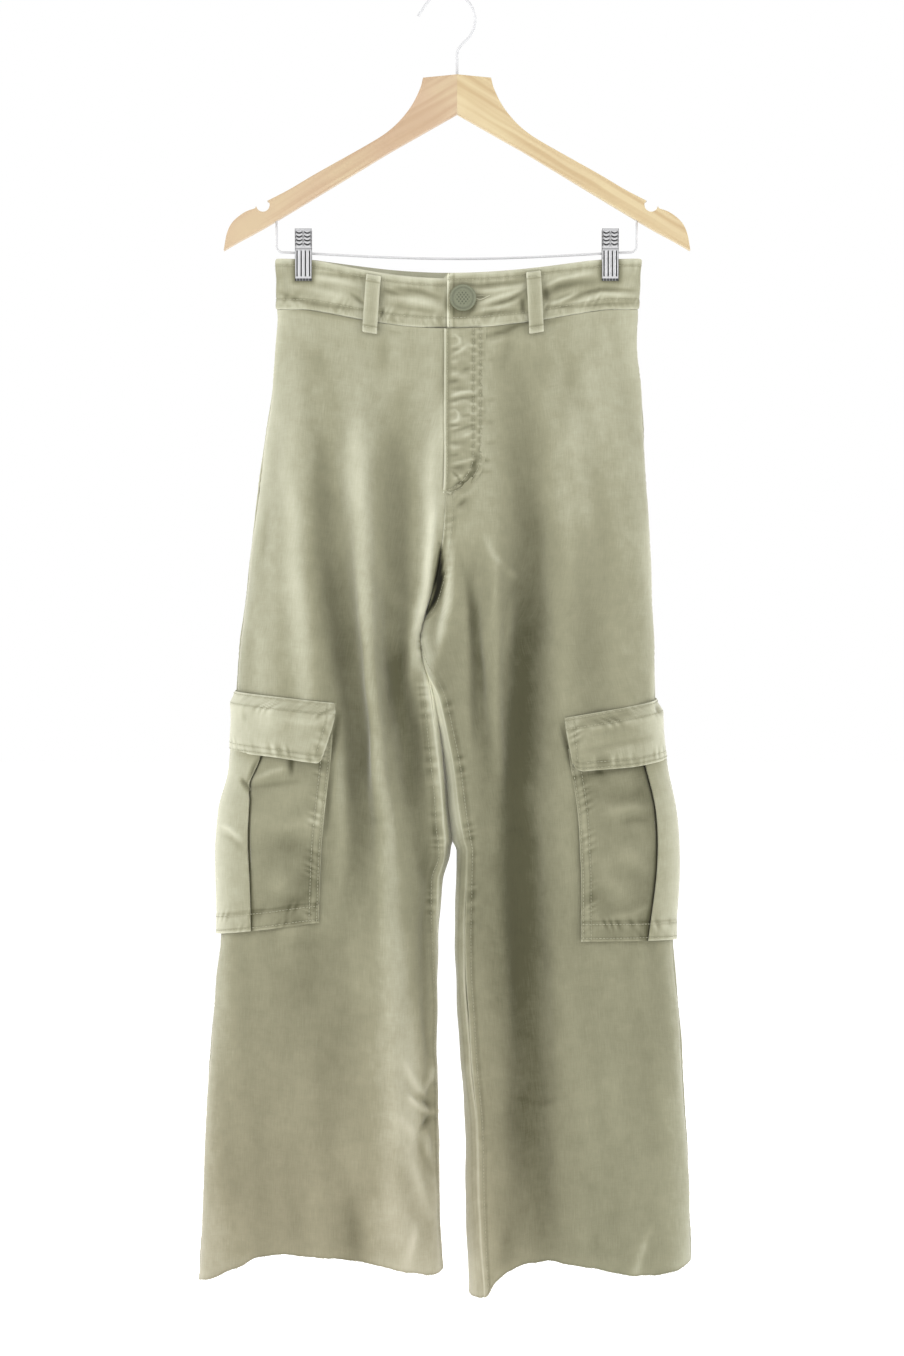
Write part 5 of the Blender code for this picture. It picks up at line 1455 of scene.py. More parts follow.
def waistband(threads):
    """One strip all round, its left end lapped over the right at the centre front."""
    shares = np.linspace(0, 1, 34)[:, None]
    parts = []
    for leg, angles, push in pieces_of_band():
        place, normal = band_place(leg, angles[None, :], shares)
        shape = place.shape[:2]
        front = np.broadcast_to(np.sin(angles) > 0, shape)
        parts.append((place, normal, np.broadcast_to(push, shape), front))
    place, normal, push, front = (np.concatenate(part, 1) for part in zip(*parts))
    outer = place + normal * (BAND_PROUD - push)[..., None]
    inner = place + normal * (BAND_PROUD - BAND_WALL - push)[..., None]
    cloth = Cloth("waistband_cloth", outer, inner, normal, threads, BAND_SEED)
    x, drop = outer[..., 0], -outer[..., 2]
    clamped = sum(bell(x - clip_x, 0.011, 4) for clip_x in CLIP_X)
    clamped = clamped * falls(drop, CLIP_BOTTOM + 0.007, 0.006)
    free = (1 - np.clip(clamped, 0, 1)) * falls(push / UNDERLAP_PUSH, 0.99, 0.04)
    height = np.where(front, crease_height("band", x, drop), crease_height("back_band", x, drop))
    across, down, lower = (cloth.away[side] for side in ("left", "top", "bottom"))
    height = height + 0.0003 * uneven(across, down * 1.6, 0.030, BAND_SEED + 2)
    cloth.lift += free * height * 1.5
    # Painted shade of the band's creases, and the band a little paler overall
    cloth.tone += np.clip(free * height * PAINTED_SHADE_OF_CREASE["band"], -0.95, 0.55) + 0.17
    # Painted shadows of the clips on the band's front, beside and below them
    for clip_x in CLIP_X:
        beside = np.maximum(np.abs(x - clip_x) - CLIP_WIDTH / 2, 0)
        from_clip = np.hypot(beside, np.maximum(drop - CLIP_BOTTOM, 0))
        cloth.tone -= 0.60 * front * bell(from_clip, 0.0028)
    cloth.sew("top", 0.0067, depth=0.00014, groove=0.0003)
    cloth.sew("bottom", 0.0098, depth=0.00022, period=0.0085, groove=0.0004, reach=0.0060)
    rope = pucker_wave(across + 0.6 * down, 0.0074, 5.0) * bell(lower - 0.0048, 0.0040)
    cloth.swell += 0.00018 * rope + 0.0004 * bell(lower - 0.0046, 0.0042, 4)
    # Painted shade on the puckers of the raised strip above the seam
    cloth.tone += 0.16 * rope
    # Painted highlight on that raised strip and along the seam edge
    cloth.mark("bottom", 0.12, 0.0044, 0.0046, 4)
    cloth.mark("bottom", 0.34, 0.0012)
    # Painted shadow of the button on the band, a little below it and to the wearer's right
    from_button = np.hypot(x - BUTTON_X + 0.0020, drop - BUTTON_DROP - 0.0024)
    cloth.tone -= 0.75 * front * bell(np.maximum(from_button - BUTTON_RADIUS, 0), 0.0026)
    # Painted highlight along the top edge
    cloth.mark("top", 0.45, 0.0036)
    cloth.sew("right", 0.0025, depth=0.0002)
    # Painted highlight along the lapped end, and a line of painted shade beyond its stitching
    cloth.mark("right", 0.70, 0.0036)
    cloth.mark("right", -0.40, 0.0012, 0.0066)
    cloth.roll(("top", "bottom", "left", "right"), BAND_WALL)
    # Painted light on the inside, against the shade in the gap between front and back
    cloth.inside_tone = 0.45
    return cloth


def belt_loop(name, leg, face, top_x, bottom_x, threads, number):
    """A folded strip sewn down at both ends, standing a little off the band between them."""
    across = np.linspace(-LOOP_WIDTH / 2, LOOP_WIDTH / 2, 15)
    t = np.linspace(0, 1, 64)[:, None]
    top_drop, bottom_drop = BAND_TOP + LOOP_ABOVE, WAIST_SEAM + LOOP_BELOW
    drop = np.broadcast_to(top_drop + (bottom_drop - top_drop) * t, (64, 15))
    angle = angle_at_x(leg, face, top_x + (bottom_x - top_x) * t + across, drop)
    share = np.clip((drop - BAND_TOP) / (WAIST_SEAM - BAND_TOP), 0, 1)
    band, band_way = band_place(leg, angle, share)
    cloth_place, cloth_way = on_form(leg, angle, np.maximum(drop, WAIST_SEAM))
    blend = smoothstep((drop - WAIST_SEAM + 0.001) / 0.003)[..., None]
    normal = unit(band_way * (1 - blend) + cloth_way * blend)
    place = np.where((drop < WAIST_SEAM)[..., None], band, cloth_place)
    stand = BAND_PROUD + GAP + CHORD + LOOP_SLACK * smoothstep(t / 0.22) * falls(t, 1, 0.12)
    stand = np.broadcast_to(stand, angle.shape)[..., None]
    outer, inner = place + normal * (stand + LOOP_WALL), place + normal * stand
    loop = Cloth(f"{name}_cloth", outer, inner, normal, threads, LOOP_SEED + number)
    for end in ("top", "bottom"):
        loop.band(end, 0.0007, 0.0055, 0.0012)
        loop.rows.append((end, 0.0046, (0.06, 0.94)))
        loop.rows.append((end, 0.0053, (0.06, 0.94)))
        # Painted light on the raised, doubled ends, and a line of painted shade just beyond them
        loop.tone += 0.15 * (1 - rises(loop.away[end], 0.0055, 0.001))
        loop.mark(end, -0.4, 0.0008, 0.0068)
    loop.mark("left", -0.20, 0.0050, LOOP_WIDTH / 2)
    loop.swell += 0.00018 * uneven(loop.away["left"], loop.away["top"], 0.011, LOOP_SEED + 10 + number)
    loop.roll(("left", "right", "top", "bottom"), LOOP_WALL)
    loop.tone += 0.35
    return loop


def fly_grid():
    """The fly's points and outward directions: straight down its edge, curved back to it at the foot."""
    foot = FLY_END - FLY_CURVE * (1 - np.sin(np.radians(np.linspace(2, 84, 26))))
    drops = np.concatenate([np.linspace(WAIST_SEAM + 2 * GAP, FLY_END - FLY_CURVE, 90), foot])
    low = np.maximum(0, (drops - FLY_END + FLY_CURVE) / FLY_CURVE)
    width = (FLY_WIDTH + FLY_LAP) * np.sqrt(1 - low**2)
    centre = body("left_inner", drops)[:, None]
    x = centre - FLY_LAP + width[:, None] * np.linspace(0, 1, 32)
    level = np.broadcast_to(drops[:, None], x.shape)
    place, normal = np.zeros((*x.shape, 3)), np.zeros((*x.shape, 3))
    for leg, there in (("left", x > centre), ("right", x <= centre)):
        some, way = on_form(leg, angle_at_x(leg, "front", np.where(there, x, centre), level), level)
        place = np.where(there[..., None], some, place)
        normal = np.where(there[..., None], way, normal)
    return place, normal


def fly(threads):
    """The lapped fly front, sunk into the front along its sewn sides, with crumples and two bumpy rows."""
    place, normal = fly_grid()
    flat, down = running(place, 1), running(place, 0)
    from_right, from_bottom = flat[:, -1:] - flat, down[-1:] - down
    sunk = smoothstep(np.minimum(from_right, from_bottom * 1.3) / 0.010)
    under = (GAP + CHORD) * sunk - 0.0012 * (1 - sunk)
    outer = place + normal * (under + FLY_WALL + 0.0002)[..., None]
    cloth = Cloth("fly_cloth", outer, place + normal * under[..., None], normal, threads, FLY_SEED)
    cloth.crease("fly")
    across, down = cloth.away["left"], cloth.away["top"]
    inside = rises(across, 0.002, 0.004) * falls(across, 0.026, 0.008)
    blisters = inside * uneven(across * 0.75, down * 1.25, 0.0125, FLY_SEED + 1)
    cloth.lift += 0.00055 * blisters
    # Painted shade: the blisters are paler on top and darker between them
    cloth.tone += 0.16 * blisters
    for distance, shift in ((0.0052, 0.0), (0.0122, 0.0046)):
        turn = math.tau * (down + shift) / 0.0094 + 1.1 * np.sin(down / 0.013 + distance * 900)
        bumps = np.maximum(0, np.sin(turn)) ** 1.5 - 0.30
        bumps = bumps * bell(cloth.away["right"] - distance, 0.0026)
        cloth.swell += 0.00095 * bumps
        # Painted shade: the bumps are paler on top and darker between them
        cloth.tone += 0.58 * bumps
        cloth.sew("right", distance, depth=0.00012)
    cloth.sew("left", 0.0030, (0, 0.97), depth=0.00006, groove=0.0001)
    # Painted highlight along the proud lapped edge, and a line of painted shade just inside its stitching
    cloth.mark("left", 0.80, 0.0020)
    cloth.mark("left", -0.30, 0.0018, 0.0048)
    # The drapes' relief and painted light and shade carry on over the fly
    height, tone = drape("front", outer[..., 0], -outer[..., 2])
    cloth.lift += height
    cloth.tone += tone + 0.14
    return cloth


def pleat_section():
    """Half a pocket's section, from its edge to its middle: arc, height and facing of its middle line."""
    low = GAP + CHORD + POCKET_WALL / 2
    step = POCKET_WALL + GAP
    strip, half = PLEAT_STRIP / 2, POCKET_WIDTH / 2
    under = strip - PLEAT_UNDER
    turn = np.radians(np.linspace(-80, 80, 9))
    arcs = [np.linspace(half, under + 0.0005, 50)]
    heights = [np.full(50, low)]
    arcs.append(under - np.cos(turn) * step / 2)
    heights.append(low + step / 2 + np.sin(turn) * step / 2)
    arcs.append(np.linspace(under + 0.002, strip - 0.002, 4))
    heights.append(np.full(4, low + step))
    arcs.append(strip + np.cos(turn) * step / 2)
    heights.append(low + 1.5 * step + np.sin(turn) * step / 2)
    arcs.append(np.linspace(strip - 0.001, 0, 20))
    heights.append(np.full(20, low + 2 * step))
    return np.concatenate(arcs), np.concatenate(heights)


# How far the pleat's front edge lies in front of its straight line, in millimetres
PLEAT_EDGE = [
    # share of the pocket's height, wearer's right, wearer's left
    (0.00, 6.0, 9.0),
    (0.14, 3.0, 6.0),
    (0.29, -6.5, 2.5),
    (0.36, -3.5, 2.0),
    (0.52, -1.5, 2.5),
    (0.74, 2.5, 7.0),
    (1.00, 6.0, 15.0),
]
PLEAT_COLUMNS = ("share", "right", "left")
PLEAT_PUFF = 0.0030


def mirrored(half, sign):
    """A half section and its mirror image, joined at the middle."""
    return np.concatenate([half, sign * half[::-1][1:]])


def pocket_grid(leg, arc, height):
    """The pocket's outer and inner points, their directions, and their angles round the leg."""
    spec = POCKETS[leg]
    along, rise = np.gradient(arc), np.gradient(height)
    size = np.hypot(along, rise)
    off_arc, off_height = rise / size * POCKET_WALL / 2, -along / size * POCKET_WALL / 2
    t = np.linspace(0, 1, 118)[:, None]
    top = spec["flap_top"] + POCKET_TOP_BELOW_FLAP
    strip = np.clip(1 - (arc / (PLEAT_STRIP / 2 + 0.001)) ** 2, 0, 1) * (height > height.max() - 0.0008)
    puff = PLEAT_PUFF * strip[None, :] * np.sin(math.pi * np.clip(t * 0.92 + 0.16, 0, 1)) ** 0.7
    strip_moves = smoothstep(arc / (PLEAT_STRIP / 2 - 0.012)) * falls(arc, 0.075, 0.028)
    shift = column(PLEAT_EDGE, PLEAT_COLUMNS, leg, t) * MM * strip_moves
    shift = shift + spec["pocket_front"] * rises(arc, 0.060, 0.040)
    foot = spec["foot_tilt"] * np.maximum(arc, 0) * t**2
    drops = top + (spec["bottom"] - top) * t + spec["tilt"] * (1 - t) * arc + foot
    grids = []
    for way in (1, -1):
        arcs = arc + shift + way * off_arc
        angles = angle_at_arc(leg, np.broadcast_to(arcs + spec["centre"], drops.shape), drops)
        place, normal = on_form(leg, angles, drops)
        grids.append(place + normal * (height + way * off_height + puff)[..., None])
    return *grids, place, normal, angles, t


def cargo_pocket(leg, threads):
    """A patch pocket round the side seam, with a box pleat down its middle."""
    spec = POCKETS[leg]
    half_arc, half_height = pleat_section()
    arc, height = mirrored(half_arc, -1), mirrored(half_height, 1)
    outer, inner, place, normal, angles, t = pocket_grid(leg, arc, height)
    cloth = Cloth(f"cargo_pocket_{leg}_cloth", outer, inner, normal, threads, spec["seed"])
    lift, tone = draped(angles, place)
    cloth.lift += lift + side_ease(leg, angles, place)
    cloth.tone += 0.6 * tone + painted_light_and_rim(angles, place) + spec["tone"]
    # Painted highlight on the pocket's side of the leg
    cloth.tone += spec["side_highlight"] * bell(angles, 0.60)
    # Painted shade on the lower front of the pocket, more towards its front edge
    low_front = rises(t, 0.45, 0.3) * rises(arc, 0.030, 0.03)
    cloth.tone -= low_front * (spec["low_front"] + spec["low_edge"] * rises(arc, 0.062, 0.015))
    flat = np.abs(arc) > PLEAT_STRIP / 2 + 0.004
    cloth.crease(f"pocket_{leg}")
    edge = np.minimum(cloth.away["left"], cloth.away["right"])
    run, low = cloth.away["top"], cloth.away["bottom"]
    inside = rises(edge, 0.002, 0.02) * flat
    cloth.lift += inside * 0.0008 * uneven(edge, run, 0.045, spec["swell_seed"])
    cloth.lift += inside * 0.0016 * smoothstep(run / 0.03) * rises(low, 0.012, 0.05)
    cloth.tone += 0.12 * flat * uneven(edge, run, 0.034, 103)
    under_flap = FLAP_HEIGHT - POCKET_TOP_BELOW_FLAP
    # Painted shadow of the flap, fading down from under it
    below_flap = np.exp(-np.maximum(run - under_flap, 0) / 0.006)
    cloth.tone -= spec["under_flap"] * below_flap * smoothstep((run - under_flap + 0.004) / 0.004)
    for side in ("left", "right"):
        cloth.sew(side, 0.0020, depth=0.00018)
        cloth.sew(side, 0.0092, depth=0.00040, period=0.0080)
        cloth.band(side, 0.0005, 0.0080)
        # Painted highlight on the raised seam bands
        cloth.mark(side, 0.22, 0.0026, 0.0055)
    cloth.sew("bottom", 0.0030, depth=0.00020)
    cloth.sew("bottom", 0.0160, depth=0.00040)
    cloth.band("bottom", 0.0005, 0.0175, 0.0012)
    # A line of painted shade where the bottom band ends
    cloth.mark("bottom", -0.35, 0.0012, 0.0188)
    # Painted light on the pleat's raised strip, and painted shade beside its folds
    from_fold = np.abs(np.abs(arc) - PLEAT_STRIP / 2)
    beside = 1.05 * bell(from_fold, 0.0034) + spec["pleat_shadow"] * np.exp(-from_fold / 0.011)
    cloth.tone += np.where(height > height.max() - 0.0010, 0.22, -beside)
    # Painted highlight along the pocket's edges
    cloth.tone += 0.42 * bell(edge, 0.0014)
    cloth.mark("bottom", 0.42, 0.0018)
    return cloth


def cargo_flap(leg, threads):
    """The flap over the pocket's mouth, sewn down along its top edge, with rounded lower corners."""
    spec = POCKETS[leg]
    over = 4 * GAP + 3 * POCKET_WALL + 2 * CHORD
    half = FLAP_WIDTH / 2
    arcs = np.linspace(-half, half, 138)
    corner, seed = spec["flap_corner"], spec["flap_seed"]
    cut = corner * (1 - rounding(half - np.abs(arcs), corner))
    below = np.linspace(0, 1, 40)[:, None] * (FLAP_HEIGHT - cut)
    rise = GAP + CHORD + (over - GAP - CHORD) * smoothstep(below / FLAP_RAMP)
    at_front = rises(arcs, 0.040, half - 0.040)
    share = below / FLAP_HEIGHT
    drops = spec["flap_top"] + spec["tilt"] * arcs + below - spec["flap_front_rise"] * at_front * share
    slant = spec["flap_front_top"] * (1 - share) + spec["flap_front_low"] * share
    angles = angle_at_arc(leg, arcs + slant * at_front + spec["centre"], drops)
    place, normal = on_form(leg, angles, drops)
    wave = 0.0010 * uneven(arcs[None, :], below, 0.050, seed) * rises(below, 0.008, 0.03)
    stands = spec["flap_stands"] * rises(arcs, 0.055, 0.050) * rises(below, 0.004, 0.050)
    low = rise + stands + np.maximum(wave, -0.0005)
    outer, inner = place + normal * (low + FLAP_WALL)[..., None], place + normal * low[..., None]
    cloth = Cloth(f"cargo_flap_{leg}_cloth", outer, inner, normal, threads, seed)
    lift, tone = draped(angles, place)
    cloth.lift += 0.5 * lift + side_ease(leg, angles, place)
    cloth.tone += 0.4 * tone + painted_light_and_rim(angles, place) + spec["flap_tone"]
    cloth.tone += 0.56 - 0.30 * rises(arcs, 0.020, 0.06)
    cloth.tone += 0.10 * uneven(arcs[None, :], below, 0.034, seed + 2)
    cloth.crease(f"flap_{leg}")
    for side, distance, span, depth, groove in FLAP_SEWING:
        cloth.sew(side, distance, span, depth, groove=groove)
    cloth.roll(("bottom", "left", "right", "top"), FLAP_WALL)
    return cloth


def hem_threads(panels, threads, seed):
    """Short loose threads along the raw hems."""
    draw = np.random.default_rng(seed)
    for cloth in panels:
        edge, normals = cloth.final[-1], cloth.normal[-1]
        count = int(running(edge[None, :, :], 1)[0, -1] / FRAY_PITCH)
        at = np.sort(draw.uniform(0, len(edge) - 1.001, count))
        i, t = at.astype(int), (at - at.astype(int))[:, None]
        root = edge[i] * (1 - t) + edge[i + 1] * t - normals[i] * draw.uniform(0.0001, 0.0010, (count, 1))
        along = unit(edge[i + 1] - edge[i])
        reach = draw.gamma(2.0, 0.0011, count)[:, None]
        lean = draw.normal(0, 0.75, (count, 1))
        out = draw.normal(0.1, 0.45, (count, 1))
        way = unit(np.array([0, 0, -1.0]) + along * lean + normals[i] * out)
        bend = unit(along * draw.normal(0, 1, (count, 1)) + normals[i] * draw.normal(0, 1, (count, 1)))
        stations = np.linspace(0, 1, 4)[None, :, None]
        centres = root[:, None] - way[:, None] * 0.0010 + way[:, None] * (reach[:, None] + 0.0010) * stations
        centres = centres + bend[:, None] * reach[:, None] * 0.45 * stations**2
        threads.lay(centres, normals[i][:, None], FRAY_SIZES, draw.uniform(0.1, 0.9, count))


def turned(name, profile, sides, finish, tone):
    """A turned form from a profile of radius and height, about +Z, with its own marks."""
    turns = math.tau * np.arange(sides) / sides
    radius, height = np.array(profile).T[:, :, None]
    points = np.stack([radius * np.cos(turns), radius * np.sin(turns), height + 0 * turns], axis=-1)
    return object_from(name, points, tube_faces(len(profile), sides), finish, None, np.repeat(tone, sides))


def button_seat():
    """Where the button sits on the band, and the way that it faces."""
    share = (BUTTON_DROP - BAND_TOP - sag(BUTTON_X, SEAM_SAG)) / (WAIST_SEAM - BAND_TOP)
    drop = BAND_TOP + (WAIST_SEAM - BAND_TOP) * share
    angle = angle_at_x("left", "front", BUTTON_X, drop)
    return band_place("left", angle, share)


def waist_button(finish):
    """A turned metal button: a soft rolled rim, a sunk ring and a low boss with a hammered middle."""
    place, facing = button_seat()
    r = BUTTON_RADIUS
    profile = [(0.0046, 0.0), (0.0052, 0.0004), (0.0060, 0.0008), (0.90 * r, 0.0009)]
    for turn in np.radians(np.linspace(-80, 150, 12)):
        profile.append((0.93 * r + 0.07 * r * math.cos(turn), 0.0021 + 0.0013 * math.sin(turn)))
    profile += [(0.84 * r, 0.0026), (0.80 * r, 0.0022), (0.74 * r, 0.0021), (0.68 * r, 0.0023)]
    profile += [(share * r, 0.0026 + 0.0004 * (1 - share)) for share in np.linspace(0.62, 0.02, 16)]
    # Painted shade and dirt in the sunk ring
    tone = [0.0] * 16 + [-0.20, -0.35, -0.25, -0.10] + [0.0] * 16
    made = turned("waist_button_metal", profile, 72, finish, tone)
    mesh = made.data
    marks = mesh.attributes["tone"].data
    for vertex, mark in zip(mesh.vertices, marks):
        reach = math.hypot(vertex.co.x, vertex.co.y)
        if reach < 0.62 * r and vertex.co.z > 0.002:
            dent = max(0.0, math.sin(vertex.co.x * 1500 + 0.7) * math.sin(vertex.co.y * 1900 + 0.4)) ** 0.7
            vertex.co.z -= 0.00040 * dent
            # Painted shade and dirt in the hammered dents
            mark.value = -0.95 * dent * min(1.0, (0.62 * r - reach) / (0.2 * r))
    made.rotation_mode = "QUATERNION"
    made.rotation_quaternion = Vector(facing).to_track_quat("Z", "X")
    made.location = Vector(place + facing * (BAND_PROUD + GAP))
    return made


def buttonhole(finish):
    """The sewn eye of the buttonhole beside the button, with a loose thread end."""
    threads = Threads("buttonhole", finish)
    share, count = 0.47, 56
    x0, length, half = BUTTON_X + 0.009, 0.0115, 0.0011
    height = WAIST_SEAM - BAND_TOP
    drop = BAND_TOP + height * share
    run = np.linspace(0, 1, count)
    stretch = np.where(run < 0.5, run * 2, 2 - run * 2)
    side = np.where(run < 0.5, 1.0, -1.0)
    offset = half * side * np.sqrt(np.clip(1 - (2 * np.clip(stretch - 0.88, 0, 1) / 0.24) ** 2, 0.05, 1))
    angle = angle_at_x("left", "front", x0 + length * stretch, np.full(count, drop))
    place, normal = band_place("left", angle, share + offset / height)
    over, _ = band_place("left", angle, share + (offset + side * 0.0013) / height)
    place = place + normal * (BAND_PROUD + 0.0003)
    over = over + normal * (BAND_PROUD + 0.0002)
    stations = np.array([0.0, 0.35, 0.7, 1.0])[None, :, None]
    centres = place[:, None] + (over - place)[:, None] * stations + normal[:, None] * STITCH_ARCH
    threads.lay(centres, normal[:, None], 0.00026, np.full(count, -0.35))
    tail_x = np.linspace(x0 + 0.003, x0 + 0.0165, 14)
    tail_share = share + 0.03 * np.sin(np.linspace(0, 4.4, 14))
    tail_angle = angle_at_x("left", "front", tail_x, np.full(14, drop))
    tail, tail_way = band_place("left", tail_angle, tail_share)
    tail = tail + tail_way * (BAND_PROUD + 0.0011)
    threads.lay(tail[None], tail_way[None], 0.00038, np.array([0.9]))
    return threads.build()


ARM_TOP = [
    # distance from the middle, drop: the upper edge from the neck to the shoulder notch
    (0.0000, 0.0773), (0.0325, 0.0805), (0.0350, 0.0902), (0.0418, 0.1045), (0.0508, 0.1172),
    (0.0636, 0.1300), (0.0827, 0.1428), (0.1337, 0.1715), (0.1595, 0.1868), (0.1810, 0.1980),
]
# The notch's distance from the middle, drop and radius
ARM_NOTCH = (0.1852, 0.2018, 0.0065)
ARM_END = [
    # distance from the middle, drop: beyond the notch, round the shoulder to the tip and back
    (0.1925, 0.2050), (0.2030, 0.2090), (0.2140, 0.2180), (0.2195, 0.2290), (0.2225, 0.2450),
    (0.2070, 0.2360), (0.1720, 0.2165), (0.0636, 0.1508), (0.0000, 0.1147),
]
ARM_SLOPE = math.radians(31)


def rounded_line(points, sharp, steps=6):
    """A smooth curve through points, kept straight to the ones whose numbers are in sharp."""
    points = np.array(points, float)
    made = []
    for i in range(len(points) - 1):
        a, b = points[i], points[i + 1]
        before = points[i - 1] if i > 0 and i not in sharp else a * 2 - b
        after = points[i + 2] if i + 2 < len(points) and i + 1 not in sharp else b * 2 - a
        for t in np.linspace(0, 1, steps, endpoint=False):
            made.append(0.5 * (
                2 * a + (b - before) * t + (2 * before - 5 * a + 4 * b - after) * t**2
                + (3 * a - before - 3 * b + after) * t**3
            ))
    made.append(points[-1])
    return made


def arm_outline(way):
    """Half the hanger, from the middle joint round the shoulder and back under."""
    middle, drop, radius = ARM_NOTCH
    turns = [math.radians(degrees) for degrees in np.linspace(150, 350, 14)]
    notch = [(middle + radius * math.cos(turn), drop - radius * math.sin(turn)) for turn in turns]
    points = rounded_line(ARM_TOP, {0, 1, 9}) + notch + rounded_line(ARM_END, {4, 7, 8})
    return [(HANGER_X + way * max(reach, SEAM_SLIT / 2), -drop) for reach, drop in points]


def in_order(shape):
    """The points and faces in one fixed order, because a bevel leaves another order each run."""
    corners = sorted(shape.verts, key=lambda corner: corner.co[:])
    ranks = {corner: rank for rank, corner in enumerate(corners)}
    faces = []
    for face in shape.faces:
        around = [ranks[corner] for corner in face.verts]
        # A four-cornered face turns by two corners or none, so its diagonal stays
        step = 2 if len(around) == 4 else 1
        first = min(range(0, len(around), step), key=lambda place: around[place])
        faces.append(around[first:] + around[:first])
    return [corner.co[:] for corner in corners], sorted(faces)


def hanger_arm(name, way, finish):
    """One wooden arm with its edges rounded over."""
    shape = bmesh.new()
    face = shape.faces.new([shape.verts.new((x, -WOOD_THICK / 2, z)) for x, z in arm_outline(way)])
    moved = bmesh.ops.extrude_face_region(shape, geom=[face])["geom"]
    corners = [v for v in moved if isinstance(v, bmesh.types.BMVert)]
    bmesh.ops.translate(shape, vec=(0, WOOD_THICK, 0), verts=corners)
    bmesh.ops.recalc_face_normals(shape, faces=shape.faces)
    rim = [
        e for e in shape.edges
        if abs(e.verts[0].co.y - e.verts[1].co.y) < 1e-6
        and min(abs(v.co.x - HANGER_X) for v in e.verts) > 0.0005
    ]
    bmesh.ops.bevel(
        shape, geom=rim, offset=WOOD_ROUND, segments=4, profile=0.5, affect="EDGES", clamp_overlap=True
    )
    bmesh.ops.triangulate(shape, faces=[f for f in shape.faces if len(f.verts) > 4])
    mesh = bpy.data.meshes.new(name)
    points, faces = in_order(shape)
    mesh.from_pydata(points, [], faces)
    shape.free()
    layer = mesh.uv_layers.new(name="cloth")
    along, across = math.cos(ARM_SLOPE), math.sin(ARM_SLOPE)
    start = (0.7, 0.35) if way > 0 else (0.0, 0.0)
    for loop in mesh.loops:
        place = mesh.vertices[loop.vertex_index].co
        reach, drop = abs(place.x - HANGER_X), -place.z
        layer.data[loop.index].uv = (
            reach * along + drop * across + start[0],
            drop * along - reach * across + place.y * 0.6 + start[1],
        )
    mesh.materials.append(finish)
    mesh.shade_smooth()
    for polygon in mesh.polygons:
        polygon.use_smooth = abs(polygon.normal.y) < 0.999
    mesh.set_sharp_from_angle(angle=math.radians(38))
    return placed(name, mesh)


def jaw_line(x):
    """The jaw's section at even steps: distance from the middle plane, and drop."""
    grip = WAIST_PINCHED + BAND_PROUD + GAP
    axis = bar_drop(x)
    at_spring = SPRING_RADIUS + GAP
    line = [
        (at_spring + 0.0042, CLIP_TOP), (at_spring + 0.0008, axis - 0.0070), (at_spring, axis - 0.0040),
        (at_spring, axis + 0.0040), (at_spring - 0.0002, axis + 0.0090),
        (grip + 0.0010, CLIP_BOTTOM - 0.0060), (grip, CLIP_BOTTOM - 0.0030), (grip, CLIP_BOTTOM),
    ]
    path = np.array(rounded_line(line, set(), 20))
    along = running(path[None], 1)[0]
    at = np.linspace(0, 1, 104) * along[-1]
    return np.interp(at, along, path[:, 0])[:, None], np.interp(at, along, path[:, 1])[:, None]


def clip_jaw(name, x, way, finish):
    """A bent plate: ribs to grip on its upper third, flutes below them and a toothed lip."""
    y, drop = jaw_line(x)
    s = np.linspace(0, 1, 104)[:, None]
    across = np.linspace(-1, 1, 46)
    off = np.abs(across)
    ribs_here = falls(s, 0.36, 0.03) * rises(s, 0.02, 0.03)
    column_bend = np.abs(off - 0.48) / 0.42
    rib = np.sin((s * 26.0 - 0.9 * (1 - column_bend**2)) * math.pi * 1.05)
    ribs = ribs_here * falls(column_bend, 1, 0.25) * rib
    flutes_here = rises(s, 0.40, 0.04) * falls(s, 0.93, 0.03)
    flute = np.cos(across * math.pi * 4.0)
    lip = np.where(s > 0.955, 0.5 + 0.5 * np.sign(np.sin(across * math.pi * 5.5)), 0.0)
    height = 0.00045 * (ribs + flutes_here * flute) - 0.0005 * (1 - rounding(1 - off, 0.08))
    beside_ribs = bell(off - 0.05, 0.06) + bell(off - 0.90, 0.08)
    # Painted shade and dirt: dark in the ribs' grooves, the flutes, beside the ribs, at the lip, and along
    # the rims and ends
    tone = -np.clip(-ribs * 2.8, 0, 1) - flutes_here * np.clip(-flute * 1.9 - 0.35, 0, 1) - 0.35 * lip
    tone = tone - 0.8 * ribs_here * beside_ribs * (0.6 + 0.4 * rib)
    tone = tone - 0.6 * rises(s, 0.950, 0.01) - 0.5 * bell(s - 0.385, 0.012)
    tone = tone - 0.7 * rises(off, 0.90, 0.08) - 0.7 * falls(s, 0.012, 0.008)
    grid = np.zeros_like(height)
    sideways = x + across * CLIP_WIDTH / 2 + grid
    outer = np.stack([sideways, way * (y + CLIP_WALL + height), grid - drop], axis=-1)
    inner = np.stack([sideways, way * y + grid, grid - drop], axis=-1)
    plate = Cloth(name, outer, inner, np.zeros_like(outer), None, 0)
    plate.tone = np.clip(tone, -1, 0.2)
    return plate.build(finish, thin=4)


def clip_spring(name, x, finish):
    """The coiled spring round the bar, between the jaws."""
    turns, sides = 6, 8
    length, radius, wire = 0.0108, SPRING_RADIUS - 0.0006, 0.00055
    steps = np.linspace(0, turns, turns * 22 + 1)
    angle = steps * math.tau
    out = np.stack([np.zeros_like(angle), np.cos(angle), np.sin(angle)], axis=1)
    centre = out * radius
    centre[:, 0] = x + length * (steps / turns - 0.5)
    centre[:, 2] -= bar_drop(x)
    side = np.cross(unit(np.gradient(centre, axis=0)), out)
    ring = np.arange(sides) * math.tau / sides
    round_wire = np.cos(ring)[:, None] * out[:, None] + np.sin(ring)[:, None] * side[:, None]
    return object_from(name, centre[:, None] + wire * round_wire, tube_faces(len(steps), sides), finish)


